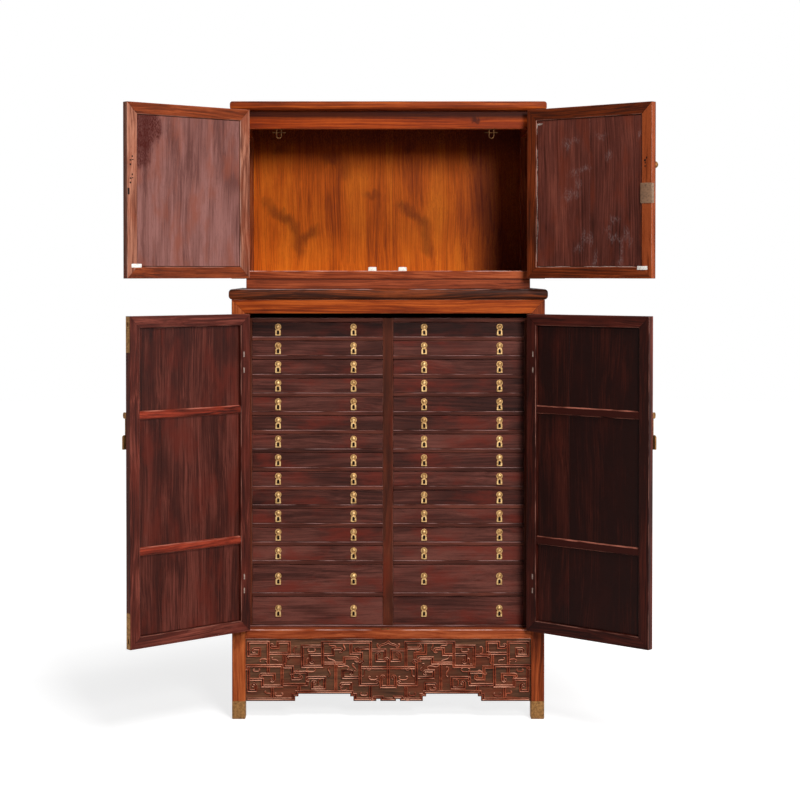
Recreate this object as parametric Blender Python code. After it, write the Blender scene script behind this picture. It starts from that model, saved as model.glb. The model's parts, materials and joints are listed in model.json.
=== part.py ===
"""Compound cabinet in dark hardwood: a hat chest standing on a base with a rack of thirty shallow drawers.

The frame has +X to the right, +Y to the back and +Z up. The floor is at zero and every size is in metres.
The four doors stand open as the cabinet is shown, the drawers are closed and the bolts are drawn back.
Doors are modelled closed, about their own hinge axis, and turned by that axis.
"""

import math

import bmesh
import bpy
from mathutils import Matrix, Vector

# Rest pose of the doors
LOWER_DOOR_OPEN = math.radians(138.8)
UPPER_DOOR_OPEN = math.radians(140.3)

# Gaps between pieces
SEAT_GAP = 0.0003
DOOR_SIDE_GAP = 0.001
DOOR_END_GAP = 0.0015
DOOR_MEETING_GAP = 0.002
DOOR_STOP_GAP = 0.001
DRAWER_SIDE_GAP = 0.0006
DRAWER_TOP_GAP = 0.0012
DRAWER_BACK_GAP = 0.006
DRAWER_PASS_GAP = 0.002
MERGE_DISTANCE = 0.00001

# Base frame
BASE_WIDTH = 0.952
BASE_DEPTH = 0.440
POST_WIDTH = 0.041
POST_DEPTH = 0.041
POST_ROUND = 0.004
FOOT_CAP_HEIGHT = 0.055
FOOT_CAP_WALL = 0.0016
FOOT_CAP_FLOOR = 0.003
FOOT_CAP_ROUND = 0.003
BOTTOM_RAIL_HEIGHT = 0.029
TOP_RAIL_HEIGHT = 0.0415
RAIL_DEPTH = 0.034
RAIL_ARRIS = 0.002
SIDE_PANEL_RECESS = 0.005
SIDE_PANEL_THICKNESS = 0.010
BACK_RECESS = 0.010
BACK_THICKNESS = 0.014
BACK_BORDER = 0.050
BACK_FIELD_DEPTH = 0.004
LEDGE_WIDTH = 0.014
LEDGE_THICKNESS = 0.012
BASE_TOP_THICKNESS = 0.032
BASE_TOP_OVERHANG = 0.008
BASE_TOP_ROUND = 0.011

# Carved apron
APRON_LOW = 0.054
APRON_HEIGHT = 0.1907
APRON_SETBACK = 0.004
APRON_THICKNESS = 0.018
APRON_RELIEF = 0.0035
FRET_STEP = 0.004
FRET_BAND = 0.010

# Drawer rack and drawers
PULL_SPACE = 0.024
RACK_DROP = 0.0095
RACK_FLOOR = 0.0155
RACK_TOP = 0.0125
RACK_TOP_CLEARANCE = 0.0150
RACK_STRIP = 0.012
RACK_CENTRE = 0.031
SHALLOW_ROWS = 13
DEEP_ROWS = 2
DEEP_ROW_HEIGHT = 0.087
DRAWER_SETBACK = 0.002
DRAWER_FRONT = 0.014
DRAWER_WALL = 0.008
DRAWER_BOTTOM = 0.006

# Drawer pulls
PULL_SPREAD = 0.2312
LEFT_PULL_SHIFT = -0.0053
RIGHT_PULL_SHIFT = 0.0100
PULL_DROP = 0.0
BOSS_RADIUS = 0.010
BOSS_RIM = 0.0018
BOSS_NECK_RADIUS = 0.0042
BOSS_NECK = 0.0034
BOSS_HEIGHT = 0.0075
PENDANT_WIDTH = 0.017
PENDANT_HEIGHT = 0.019
PENDANT_BAR = 0.005
PENDANT_BACK = 0.0014
PENDANT_THICKNESS = 0.003
PENDANT_LAP = 0.0025
SUNK = 0.001

# Doors
LOWER_DOOR_HEIGHT = 0.9605
UPPER_DOOR_HEIGHT = 0.508
DOOR_THICKNESS = 0.022
DOOR_MEMBER = 0.034
DOOR_ARRIS = 0.0016
PANEL_GROOVE = 0.007
PANEL_FRONT_RECESS = 0.003
PANEL_EDGE_GAP = 0.0005
PANEL_STEP = 0.002
TONGUE_THICKNESS = 0.005
LOWER_PANEL_THICKNESS = 0.009
UPPER_PANEL_THICKNESS = 0.016
BATTEN_HEIGHT = 0.025
BATTEN_CHAMFER = 0.003
BATTEN_SINK = 0.002
BATTEN_TENON = 0.004
BATTEN_LEVELS = (0.2785, 0.6735)

# Hinges
HINGE_HEIGHT = 0.066
HINGE_AXIS_OUT = 0.0035
KNUCKLE_RADIUS = 0.0032
HINGE_PIN_RADIUS = 0.0016
HINGE_LEAF_WIDTH = 0.026
HINGE_LEAF_START = 0.004
HINGE_LEAF_THICKNESS = 0.0015
HINGE_TAB_START = 0.0009
LEAF_SUNK = 0.0005
LOWER_HINGE_INSET = 0.147
UPPER_HINGE_INSET = 0.090

# Lock staples with their pendants, the boss of the upper right door and the flush bolts
STAPLE_LEVEL = 0.6725
STAPLE_EDGE = 0.020
STAPLE_PLATE_WIDTH = 0.026
STAPLE_PLATE_HEIGHT = 0.060
STAPLE_OUT = 0.028
STAPLE_LUG = 0.003
STAPLE_LUG_REACH = 0.005
STAPLE_LUG_HEIGHT = 0.018
STAPLE_PIN_RADIUS = 0.002
LATCH_EYE_RADIUS = 0.005
LATCH_EYE_LENGTH = 0.010
LATCH_STRAP_WIDTH = 0.008
LATCH_STRAP_THICKNESS = 0.003
LATCH_TAIL_TOP = 0.057
LATCH_TAIL_HEIGHT = 0.042
LATCH_TAIL_WIDTH = 0.026
LATCH_TAIL_THICKNESS = 0.006
LATCH_TAIL_CHAMFER = 0.007
KNOB_LEVEL = 0.329
KNOB_EDGE = 0.016
KNOB_RADIUS = 0.010
KNOB_STEM_RADIUS = 0.005
KNOB_OUT = 0.028
BOLT_SIZE = 0.008
BOLT_GAP = 0.0004
BOLT_LENGTH = 0.085
BOLT_SETBACK = 0.0035
BOLT_REST_DEPTH = 0.002
BOLT_TRAVEL = 0.012
BOLT_TUNNEL_SPARE = 0.002
BOLT_KNOB_OFFSET = 0.030
BOLT_KNOB_SIZE = 0.0034
STRIKE_GAP = 0.0008

# Hat chest
PLINTH_HEIGHT = 0.031
PLINTH_SETBACK = 0.002
PLINTH_WALL = 0.028
HAT_FLOOR_THICKNESS = 0.024
HAT_FLOOR_RIM = 0.022
HAT_FLOOR_SINK = 0.003
HAT_TOP_RAIL_HEIGHT = 0.055
HAT_RAIL_DEPTH = 0.026
HAT_TOP_THICKNESS = 0.027
HAT_TOP_OVERHANG = 0.004
HAT_TOP_ROUND = 0.009

# Levels that follow from the sizes
BOTTOM_RAIL_LOW = APRON_LOW + APRON_HEIGHT + SEAT_GAP
BOTTOM_RAIL_HIGH = BOTTOM_RAIL_LOW + BOTTOM_RAIL_HEIGHT
LOWER_DOOR_LOW = BOTTOM_RAIL_HIGH + DOOR_END_GAP
LOWER_DOOR_HIGH = LOWER_DOOR_LOW + LOWER_DOOR_HEIGHT
TOP_RAIL_LOW = LOWER_DOOR_HIGH + DOOR_END_GAP
BASE_FRAME_HIGH = TOP_RAIL_LOW + TOP_RAIL_HEIGHT
BASE_TOP_LOW = BASE_FRAME_HIGH + SEAT_GAP
BASE_TOP_HIGH = BASE_TOP_LOW + BASE_TOP_THICKNESS
PLINTH_LOW = BASE_TOP_HIGH + SEAT_GAP
HAT_LOW = PLINTH_LOW + PLINTH_HEIGHT
UPPER_DOOR_LOW = HAT_LOW + DOOR_END_GAP
UPPER_DOOR_HIGH = UPPER_DOOR_LOW + UPPER_DOOR_HEIGHT
HAT_FRAME_HIGH = UPPER_DOOR_HIGH + DOOR_END_GAP
HAT_TOP_LOW = HAT_FRAME_HIGH + SEAT_GAP
HAT_TOP_HIGH = HAT_TOP_LOW + HAT_TOP_THICKNESS
FOOT_SHOULDER = FOOT_CAP_HEIGHT + SEAT_GAP

# Widths that follow from the sizes
HALF_WIDTH = BASE_WIDTH / 2
HALF_OPENING = HALF_WIDTH - POST_WIDTH
HALF_FIT = HALF_OPENING - SEAT_GAP
DOOR_HINGE_EDGE = DOOR_SIDE_GAP / 2
DOOR_WIDTH = HALF_OPENING - DOOR_SIDE_GAP - DOOR_MEETING_GAP / 2
DOOR_FREE_EDGE = DOOR_HINGE_EDGE + DOOR_WIDTH
AXIS_X = HALF_OPENING - DOOR_HINGE_EDGE
DOOR_FRONT = HINGE_AXIS_OUT
DOOR_BACK = DOOR_FRONT + DOOR_THICKNESS

# Depths that follow from the sizes, with the open doors and the top board centred on the origin
DOOR_REACH = (HINGE_AXIS_OUT + DOOR_FREE_EDGE * math.sin(LOWER_DOOR_OPEN)
              - DOOR_BACK * math.cos(LOWER_DOOR_OPEN))
FRONT_Y = (DOOR_REACH - BASE_DEPTH - BASE_TOP_OVERHANG) / 2
REAR_Y = FRONT_Y + BASE_DEPTH
AXIS_Y = FRONT_Y - HINGE_AXIS_OUT
BACK_FACE_Y = REAR_Y - BACK_RECESS
BACK_INNER_Y = BACK_FACE_Y - BACK_THICKNESS
STOP_Y = FRONT_Y + DOOR_THICKNESS + DOOR_STOP_GAP
RACK_FRONT_Y = FRONT_Y + DOOR_THICKNESS + PULL_SPACE
RACK_BACK_Y = BACK_INNER_Y - SEAT_GAP

# Rack cells that follow from the sizes
OPEN_DOOR_INNER_X = (AXIS_X - DOOR_BACK * math.sin(LOWER_DOOR_OPEN)
                     - DOOR_HINGE_EDGE * math.cos(LOWER_DOOR_OPEN))
CELL_OUTER_X = OPEN_DOOR_INNER_X - DRAWER_PASS_GAP + DRAWER_SIDE_GAP
CELL_INNER_X = RACK_CENTRE / 2
RACK_LOW = BOTTOM_RAIL_HIGH - RACK_DROP
RACK_HIGH = TOP_RAIL_LOW - RACK_TOP_CLEARANCE
ROWS = SHALLOW_ROWS + DEEP_ROWS
ROW_SPACE = RACK_HIGH - RACK_LOW - RACK_FLOOR - RACK_TOP - RACK_STRIP * (ROWS - 1)
SHALLOW_ROW_HEIGHT = (ROW_SPACE - DEEP_ROWS * DEEP_ROW_HEIGHT) / SHALLOW_ROWS
DRAWER_WIDTH = CELL_OUTER_X - CELL_INNER_X - 2 * DRAWER_SIDE_GAP
DRAWER_CENTRE_X = (CELL_OUTER_X + CELL_INNER_X) / 2
DRAWER_FRONT_Y = RACK_FRONT_Y + DRAWER_SETBACK
DRAWER_LENGTH = RACK_BACK_Y - DRAWER_FRONT_Y - DRAWER_BACK_GAP

# Bolt places that follow from the sizes, in the closed lower left door
BOLT_X = DOOR_FREE_EDGE - BOLT_SETBACK - BOLT_SIZE / 2
BOLT_Y = (DOOR_FRONT + DOOR_BACK) / 2
STRIKE_DEPTH = BOLT_TRAVEL - BOLT_REST_DEPTH - DOOR_END_GAP + SEAT_GAP

# Lower outline of the apron from its middle to its end: distance along and rise, in fret steps
APRON_OUTLINE = ((0.0, 0.0), (6.0, 0.0), (6.0, 1.5), (9.0, 1.5), (9.0, 0.0), (26.5, 0.0), (26.5, 3.5),
                 (29.0, 3.5), (29.0, 5.5), (68.5, 5.5), (68.5, 3.5), (71.0, 3.5), (71.0, 0.0))

# Bands of the fret on one half of the apron: distance from the middle and rise of each turn, in fret steps
FRET_PATHS = (
    ((91.5, 45.0), (106.5, 45.0), (106.5, 35.0), (98.0, 35.0), (98.0, 40.0), (101.5, 40.0)),
    ((91.5, 45.0), (91.5, 27.0)),
    ((91.5, 36.5), (75.5, 36.5), (75.5, 45.0), (84.0, 45.0), (84.0, 41.0), (88.0, 41.0)),
    ((107.0, 27.0), (81.0, 27.0)),
    ((81.0, 27.0), (81.0, 11.5), (96.0, 11.5), (96.0, 16.5), (106.5, 16.5)),
    ((106.5, 27.0), (106.5, 8.0), (101.0, 8.0), (101.0, 11.5)),
    ((91.5, 27.0), (91.5, 20.5)),
    ((96.0, 20.5), (87.0, 20.5), (87.0, 17.0)),
    ((79.5, 36.5), (79.5, 26.0), (73.0, 26.0), (73.0, 17.0), (68.0, 17.0)),
    ((73.0, 22.0), (62.0, 22.0), (62.0, 12.5), (81.0, 12.5)),
    ((75.5, 35.0), (65.5, 35.0)),
    ((50.0, 42.0), (65.5, 42.0), (65.5, 26.5), (50.0, 26.5)),
    ((59.5, 31.0), (59.5, 35.5), (50.0, 35.5)),
    ((50.0, 26.5), (50.0, 45.0), (13.5, 45.0), (13.5, 26.0)),
    ((28.5, 45.0), (28.5, 36.5), (20.5, 36.5), (20.5, 32.0)),
    ((13.5, 40.5), (23.0, 40.5)),
    ((50.0, 35.5), (42.0, 35.5), (42.0, 40.0), (37.0, 40.0)),
    ((50.0, 29.0), (33.5, 29.0), (33.5, 33.0), (25.0, 33.0)),
    ((40.0, 29.0), (40.0, 7.0)),
    ((13.5, 39.0), (2.5, 39.0), (2.5, 31.0), (9.0, 31.0), (9.0, 35.0)),
    ((21.5, 29.5), (21.5, 12.5), (9.0, 12.5)),
    ((21.5, 25.5), (0.0, 25.5)),
    ((21.5, 18.0), (34.5, 18.0), (34.5, 23.0), (29.0, 23.0)),
    ((34.5, 13.5), (28.5, 13.5), (28.5, 7.0)),
    ((60.5, 18.0), (48.5, 18.0), (48.5, 10.0), (58.0, 10.0), (58.0, 13.5)),
    ((13.5, 12.5), (13.5, 2.0)),
    ((0.0, 31.0), (0.0, 11.0)),
    ((0.0, 11.0), (5.5, 11.0), (5.5, 17.5)),
    ((105.5, 2.0), (72.5, 2.0)),
    ((88.5, 11.5), (88.5, 2.0)),
    ((70.5, 7.0), (27.5, 7.0)),
    ((68.0, 12.5), (68.0, 7.0)),
    ((25.0, 2.0), (10.5, 2.0)),
    ((4.5, 2.0), (0.0, 2.0)),
)

# Colour, roughness and metallic value of each finish
FINISHES = {
    "warm_wood": ((0.36, 0.09, 0.025), 0.42, 0.0),
    "dark_wood": ((0.055, 0.018, 0.014), 0.45, 0.0),
    "door_wood": ((0.10, 0.026, 0.018), 0.42, 0.0),
    "panel_wood": ((0.13, 0.045, 0.035), 0.48, 0.0),
    "amber_wood": ((0.38, 0.11, 0.022), 0.42, 0.0),
    "cap_wood": ((0.075, 0.024, 0.014), 0.40, 0.0),
    "rack_wood": ((0.12, 0.040, 0.032), 0.50, 0.0),
    "brass": ((0.62, 0.42, 0.14), 0.35, 1.0),
    "dull_brass": ((0.34, 0.22, 0.08), 0.50, 1.0),
}


def clear_scene():
    """Remove every object of the open scene."""
    for obj in list(bpy.data.objects):
        bpy.data.objects.remove(obj)


def make_finishes():
    """Make one material for each finish and return them by name."""
    materials = {}
    for name, (colour, roughness, metallic) in FINISHES.items():
        material = bpy.data.materials.new(name)
        material.use_nodes = True
        shader = material.node_tree.nodes["Principled BSDF"]
        shader.inputs["Base Color"].default_value = (*colour, 1.0)
        shader.inputs["Roughness"].default_value = roughness
        shader.inputs["Metallic"].default_value = metallic
        materials[name] = material
    return materials


def block(x_span, y_span, z_span):
    """Return one rectangular solid between the given limits."""
    bm = bmesh.new()
    bmesh.ops.create_cube(bm, size=1.0)
    spans = (x_span, y_span, z_span)
    bmesh.ops.scale(bm, vec=[high - low for low, high in spans], verts=bm.verts)
    bmesh.ops.translate(bm, vec=[(high + low) / 2 for low, high in spans], verts=bm.verts)
    return bm


def prism(outline, along, start, end):
    """Extrude a flat outline along X, Y or Z; its points name the two other axes in alphabetical order."""
    axis = "XYZ".index(along)
    bm = bmesh.new()
    corners = []
    for point in outline:
        place = list(point)
        place.insert(axis, start)
        corners.append(bm.verts.new(place))
    face = bm.faces.new(corners)
    shift = Vector()
    shift[axis] = end - start
    extrude(bm, [face], shift)
    return bm


def extrude(bm, faces, shift):
    """Extrude a region of faces by a vector; a region that other faces border is moved, a free one is copied."""
    region = set(faces)
    bordered = any(other not in region for face in faces for edge in face.edges for other in edge.link_faces)
    made = bmesh.ops.extrude_face_region(bm, geom=faces)
    moved = [item for item in made["geom"] if isinstance(item, bmesh.types.BMVert)]
    bmesh.ops.translate(bm, vec=shift, verts=moved)
    if bordered:
        bmesh.ops.delete(bm, geom=faces, context="FACES")


def inset(bm, face, margin):
    """Inset a face by an even margin and return the ring of faces round it."""
    return bmesh.ops.inset_individual(bm, faces=[face], thickness=margin, use_even_offset=True)["faces"]


def turned(profile, segments, axis="Z", closed=False):
    """Spin a profile of radius and height about an axis through the origin."""
    bm = bmesh.new()
    verts = [bm.verts.new((radius, 0.0, height)) for radius, height in profile]
    pairs = list(zip(verts, verts[1:]))
    if closed:
        pairs.append((verts[-1], verts[0]))
    edges = [bm.edges.new(pair) for pair in pairs]
    bmesh.ops.spin(bm, geom=verts + edges, cent=(0.0, 0.0, 0.0), axis=(0.0, 0.0, 1.0),
                   angle=math.tau, steps=segments)
    bmesh.ops.remove_doubles(bm, verts=bm.verts, dist=MERGE_DISTANCE)
    turn = {"X": Matrix.Rotation(math.pi / 2, 4, "Y"), "Y": Matrix.Rotation(math.pi / 2, 4, "X"),
            "Z": Matrix.Identity(4)}
    bm.transform(turn[axis])
    return bm


def moved(bm, x=0.0, y=0.0, z=0.0):
    """Shift a solid and return it."""
    bmesh.ops.translate(bm, vec=(x, y, z), verts=bm.verts)
    return bm


def face_towards(bm, direction):
    """Return the face whose normal points most in a direction."""
    bm.normal_update()
    return max(bm.faces, key=lambda face: face.normal.dot(Vector(direction)))


def to_object(bm, name):
    """Turn a solid into a named object with its faces outward."""
    bmesh.ops.recalc_face_normals(bm, faces=bm.faces)
    mesh = bpy.data.meshes.new(name)
    bm.to_mesh(mesh)
    bm.free()
    obj = bpy.data.objects.new(name, mesh)
    bpy.context.scene.collection.objects.link(obj)
    return obj


def combine(body, solids, operation):
    """Join solids to a body or cut them from it, and keep the result as plain mesh."""
    tools = [to_object(solid, "tool") for solid in solids]
    for tool in tools:
        modifier = body.modifiers.new(operation.lower(), "BOOLEAN")
        modifier.operation = operation
        modifier.solver = "EXACT"
        modifier.object = tool
    graph = bpy.context.evaluated_depsgraph_get()
    mesh = bpy.data.meshes.new_from_object(body.evaluated_get(graph))
    mesh.name = body.name
    body.modifiers.clear()
    body.data = mesh
    for tool in tools:
        bpy.data.objects.remove(tool)


def mirror_to_right(body):
    """Turn a left-hand solid into its right-hand twin."""
    body.data.transform(Matrix.Diagonal((-1.0, 1.0, 1.0, 1.0)))
    body.data.flip_normals()


def dress(body, material, parent=None):
    """Give a sub-part its material and, where it moves, the axis that carries it."""
    body.data.materials.clear()
    body.data.materials.append(material)
    if parent is not None:
        body.parent = parent


def hinge_levels(door_low, door_high, inset):
    """Return the heights of the two hinges of a door."""
    return door_low + inset, door_high - inset


def post_hinge(level):
    """Return the fixed half of a hinge of a left door, in the frame of its axis."""
    third = HINGE_HEIGHT / 3
    stops = [level + HINGE_HEIGHT * share for share in (-0.5, -1 / 6, 1 / 6, 0.5)]
    barrel = turned(((0.0, stops[0]), (KNUCKLE_RADIUS, stops[0]), (KNUCKLE_RADIUS, stops[1]),
                     (HINGE_PIN_RADIUS, stops[1]), (HINGE_PIN_RADIUS, stops[2]), (KNUCKLE_RADIUS, stops[2]),
                     (KNUCKLE_RADIUS, stops[3]), (0.0, stops[3])), 10)
    depth = (HINGE_AXIS_OUT - HINGE_LEAF_THICKNESS, HINGE_AXIS_OUT + LEAF_SUNK)
    leaf = block((-HINGE_LEAF_WIDTH, -HINGE_LEAF_START), depth, (stops[0], stops[3]))
    tab_span = (-HINGE_LEAF_START - LEAF_SUNK, -HINGE_TAB_START)
    tabs = [block(tab_span, depth, (low, low + third)) for low in (stops[0], stops[2])]
    return [leaf, *tabs, barrel]


def door_hinge(level):
    """Return the moving half of a hinge of a left door, in the frame of its axis."""
    half = HINGE_HEIGHT / 6 - SEAT_GAP
    span = (level - half, level + half)
    bore = HINGE_PIN_RADIUS + SEAT_GAP
    barrel = turned(((bore, span[0]), (KNUCKLE_RADIUS, span[0]), (KNUCKLE_RADIUS, span[1]), (bore, span[1])),
                    10, closed=True)
    depth = (HINGE_AXIS_OUT - HINGE_LEAF_THICKNESS, HINGE_AXIS_OUT + LEAF_SUNK)
    leaf = block((HINGE_LEAF_START, HINGE_LEAF_WIDTH), depth, (level - HINGE_HEIGHT / 2, level + HINGE_HEIGHT / 2))
    tab = block((HINGE_TAB_START, HINGE_LEAF_START + LEAF_SUNK), depth, span)
    return [leaf, tab, barrel]


def end_frame(name, outline, field, hinges):
    """Build a left end: posts and rails in one outline, with a side panel left between two recesses.

    The outline and the field between the rails are given in Y and Z.
    """
    bm = prism(outline, "X", -HALF_WIDTH, -HALF_OPENING)
    corners = [edge for edge in bm.edges if is_outer_corner(edge)]
    bmesh.ops.bevel(bm, geom=corners, offset=POST_ROUND, segments=2, profile=0.5, affect="EDGES")
    body = to_object(bm, name)
    panel_outer = -HALF_WIDTH + SIDE_PANEL_RECESS
    panel_inner = panel_outer + SIDE_PANEL_THICKNESS
    outside = block((-HALF_WIDTH - SUNK, panel_outer), *field)
    inside = block((panel_inner, -HALF_OPENING + SUNK), *field)
    combine(body, [outside, inside], "DIFFERENCE")
    fittings = [moved(solid, x=-AXIS_X, y=AXIS_Y) for level in hinges for solid in post_hinge(level)]
    combine(body, fittings, "UNION")
    return body


def is_outer_corner(edge):
    """Tell whether an edge is one of the upright outer corners of an end."""
    first, second = (vert.co for vert in edge.verts)
    upright = abs(first.y - second.y) < MERGE_DISTANCE and abs(first.x - second.x) < MERGE_DISTANCE
    outer = abs(first.x + HALF_WIDTH) < MERGE_DISTANCE
    at_face = min(abs(first.y - FRONT_Y), abs(first.y - REAR_Y)) < MERGE_DISTANCE
    return upright and outer and at_face


def mitre_outline(ease, spread):
    """Return the front top rail in X and Z, its ends cut on the mitre; spread carries the mitre lines on."""
    lean = POST_WIDTH / TOP_RAIL_HEIGHT
    top_x = HALF_WIDTH - ease + spread * lean
    low_x = HALF_OPENING - ease - spread * lean
    top_z = BASE_FRAME_HIGH + spread
    low_z = TOP_RAIL_LOW - spread
    return ((-top_x, top_z), (-low_x, low_z), (low_x, low_z), (top_x, top_z))


def base_end(name):
    """Build the left end of the base with its hinge halves, ledge and foot tenons."""
    front, rear = FRONT_Y, REAR_Y
    inner_front, inner_rear = front + POST_DEPTH, rear - POST_DEPTH
    outline = ((front, FOOT_SHOULDER), (inner_front, FOOT_SHOULDER), (inner_front, BOTTOM_RAIL_LOW),
               (inner_rear, BOTTOM_RAIL_LOW), (inner_rear, FOOT_SHOULDER), (rear, FOOT_SHOULDER),
               (rear, BASE_FRAME_HIGH), (front, BASE_FRAME_HIGH))
    field = ((inner_front, inner_rear), (BOTTOM_RAIL_HIGH, TOP_RAIL_LOW))
    hinges = hinge_levels(LOWER_DOOR_LOW, LOWER_DOOR_HIGH, LOWER_HINGE_INSET)
    body = end_frame(name, outline, field, hinges)
    ledge = block((-HALF_OPENING - SUNK, -HALF_OPENING + LEDGE_WIDTH), (inner_front - SUNK, inner_rear + SUNK),
                  (RACK_LOW - SEAT_GAP - LEDGE_THICKNESS, RACK_LOW - SEAT_GAP))
    tenon_inset = FOOT_CAP_WALL + SEAT_GAP
    tenon_rise = (FOOT_CAP_FLOOR + SEAT_GAP, FOOT_SHOULDER + SUNK)
    tenon_x = (-HALF_WIDTH + tenon_inset, -HALF_OPENING - tenon_inset)
    tenons = [block(tenon_x, (low + tenon_inset, low + POST_DEPTH - tenon_inset), tenon_rise)
              for low in (front, inner_rear)]
    combine(body, [ledge, *tenons], "UNION")
    mitre = prism(mitre_outline(0.0, RAIL_DEPTH), "Y", FRONT_Y - RAIL_DEPTH, FRONT_Y + RAIL_DEPTH + SEAT_GAP)
    combine(body, [mitre], "DIFFERENCE")
    return body


def hat_end(name):
    """Build the left end of the hat chest with its hinge halves."""
    outline = ((FRONT_Y, HAT_LOW), (REAR_Y, HAT_LOW), (REAR_Y, HAT_FRAME_HIGH), (FRONT_Y, HAT_FRAME_HIGH))
    field = ((FRONT_Y + POST_DEPTH, REAR_Y - POST_DEPTH),
             (HAT_LOW + HAT_FLOOR_THICKNESS, HAT_FRAME_HIGH - HAT_TOP_RAIL_HEIGHT))
    hinges = hinge_levels(UPPER_DOOR_LOW, UPPER_DOOR_HIGH, UPPER_HINGE_INSET)
    return end_frame(name, outline, field, hinges)


def foot_cap(name, x, y):
    """Build a brass shoe: a cup round the foot of a post, with rounded lower edges."""
    half_x, half_y = POST_WIDTH / 2, POST_DEPTH / 2
    bm = block((x - half_x, x + half_x), (y - half_y, y + half_y), (0.0, FOOT_CAP_HEIGHT))
    lower = [edge for edge in bm.edges if all(vert.co.z < MERGE_DISTANCE for vert in edge.verts)]
    bmesh.ops.bevel(bm, geom=lower, offset=FOOT_CAP_ROUND, segments=2, profile=0.5, affect="EDGES")
    mouth = face_towards(bm, (0.0, 0.0, 1.0))
    inset(bm, mouth, FOOT_CAP_WALL)
    extrude(bm, [mouth], Vector((0.0, 0.0, FOOT_CAP_FLOOR - FOOT_CAP_HEIGHT)))
    return to_object(bm, name)


def rounded_board(name, half_width, y_span, z_span, radius):
    """Build a flat board with all its edges rounded."""
    bm = block((-half_width, half_width), y_span, z_span)
    bmesh.ops.bevel(bm, geom=bm.edges[:], offset=radius, segments=3, profile=0.5, affect="EDGES")
    return to_object(bm, name)


def back_panel(name, z_span):
    """Build a back with a sunk field on its rear face."""
    bm = block((-HALF_FIT, HALF_FIT), (BACK_INNER_Y, BACK_FACE_Y), z_span)
    field = face_towards(bm, (0.0, 1.0, 0.0))
    inset(bm, field, BACK_BORDER)
    extrude(bm, [field], Vector((0.0, -BACK_FIELD_DEPTH, 0.0)))
    return to_object(bm, name)


def strike_hole(z_span):
    """Return the hole that takes a flush bolt of the closed lower left door."""
    half = BOLT_SIZE / 2 + STRIKE_GAP
    x, y = BOLT_X - AXIS_X, AXIS_Y + BOLT_Y
    return block((x - half, x + half), (y - half, y + half), z_span)


def front_top_rail(name):
    """Build the mitred front top rail of the base with the hole for the upper bolt."""
    body = to_object(prism(mitre_outline(2 * SEAT_GAP, 0.0), "Y", FRONT_Y, FRONT_Y + RAIL_DEPTH), name)
    combine(body, [strike_hole((TOP_RAIL_LOW - SUNK, TOP_RAIL_LOW + STRIKE_DEPTH))], "DIFFERENCE")
    return body


def front_bottom_rail(name):
    """Build the front bottom rail of the base, its front edges eased, with the hole for the lower bolt."""
    bm = block((-HALF_FIT, HALF_FIT), (FRONT_Y, FRONT_Y + RAIL_DEPTH), (BOTTOM_RAIL_LOW, BOTTOM_RAIL_HIGH))
    front = face_towards(bm, (0.0, -1.0, 0.0))
    long_edges = [edge for edge in front.edges if edge.calc_length() > BOTTOM_RAIL_HEIGHT]
    bmesh.ops.bevel(bm, geom=long_edges, offset=RAIL_ARRIS, segments=2, profile=0.5, affect="EDGES")
    body = to_object(bm, name)
    combine(body, [strike_hole((BOTTOM_RAIL_HIGH - STRIKE_DEPTH, BOTTOM_RAIL_HIGH + SUNK))], "DIFFERENCE")
    return body


def hat_floor(name):
    """Build the bottom of the hat chest: a sunk floor in its rim, on a hollow plinth."""
    bm = block((-HALF_FIT, HALF_FIT), (STOP_Y, BACK_INNER_Y - SEAT_GAP), (HAT_LOW, HAT_LOW + HAT_FLOOR_THICKNESS))
    under = face_towards(bm, (0.0, 0.0, -1.0))
    inset(bm, under, PLINTH_SETBACK)
    ring = inset(bm, under, PLINTH_WALL)
    extrude(bm, ring, Vector((0.0, 0.0, -PLINTH_HEIGHT)))
    floor = face_towards(bm, (0.0, 0.0, 1.0))
    inset(bm, floor, HAT_FLOOR_RIM)
    extrude(bm, [floor], Vector((0.0, 0.0, -HAT_FLOOR_SINK)))
    return to_object(bm, name)


def hat_top_rail(name):
    """Build the recessed front top rail of the hat chest."""
    bm = block((-HALF_FIT, HALF_FIT), (STOP_Y, STOP_Y + HAT_RAIL_DEPTH),
               (HAT_FRAME_HIGH - HAT_TOP_RAIL_HEIGHT, HAT_FRAME_HIGH))
    return to_object(bm, name)


def fret_rectangles():
    """Return the limits in X and Z of every straight run of the fret, on both halves of the apron."""
    half = FRET_BAND / 2
    rectangles = []
    for path in FRET_PATHS:
        for (u0, v0), (u1, v1) in zip(path, path[1:]):
            x_low, x_high = sorted((u0 * FRET_STEP, u1 * FRET_STEP))
            z_low, z_high = sorted((APRON_LOW + v0 * FRET_STEP, APRON_LOW + v1 * FRET_STEP))
            for x0, x1 in ((x_low, x_high), (-x_high, -x_low)):
                rectangles.append((x0 - half, x1 + half, z_low - half, z_high + half))
    return rectangles


def apron_floor(x):
    """Return the lower edge of the apron at a place along it."""
    rise = 0.0
    for distance, step_rise in APRON_OUTLINE:
        if abs(x) >= distance * FRET_STEP:
            rise = step_rise
    return APRON_LOW + rise * FRET_STEP


def grid_lines(values, low, high):
    """Return the sorted distinct values between two limits, with the limits."""
    lines = [low]
    for value in sorted(values):
        if low + FRET_STEP / 8 < value < high - FRET_STEP / 8 and value - lines[-1] > FRET_STEP / 8:
            lines.append(value)
    return [*lines, high]


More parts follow.
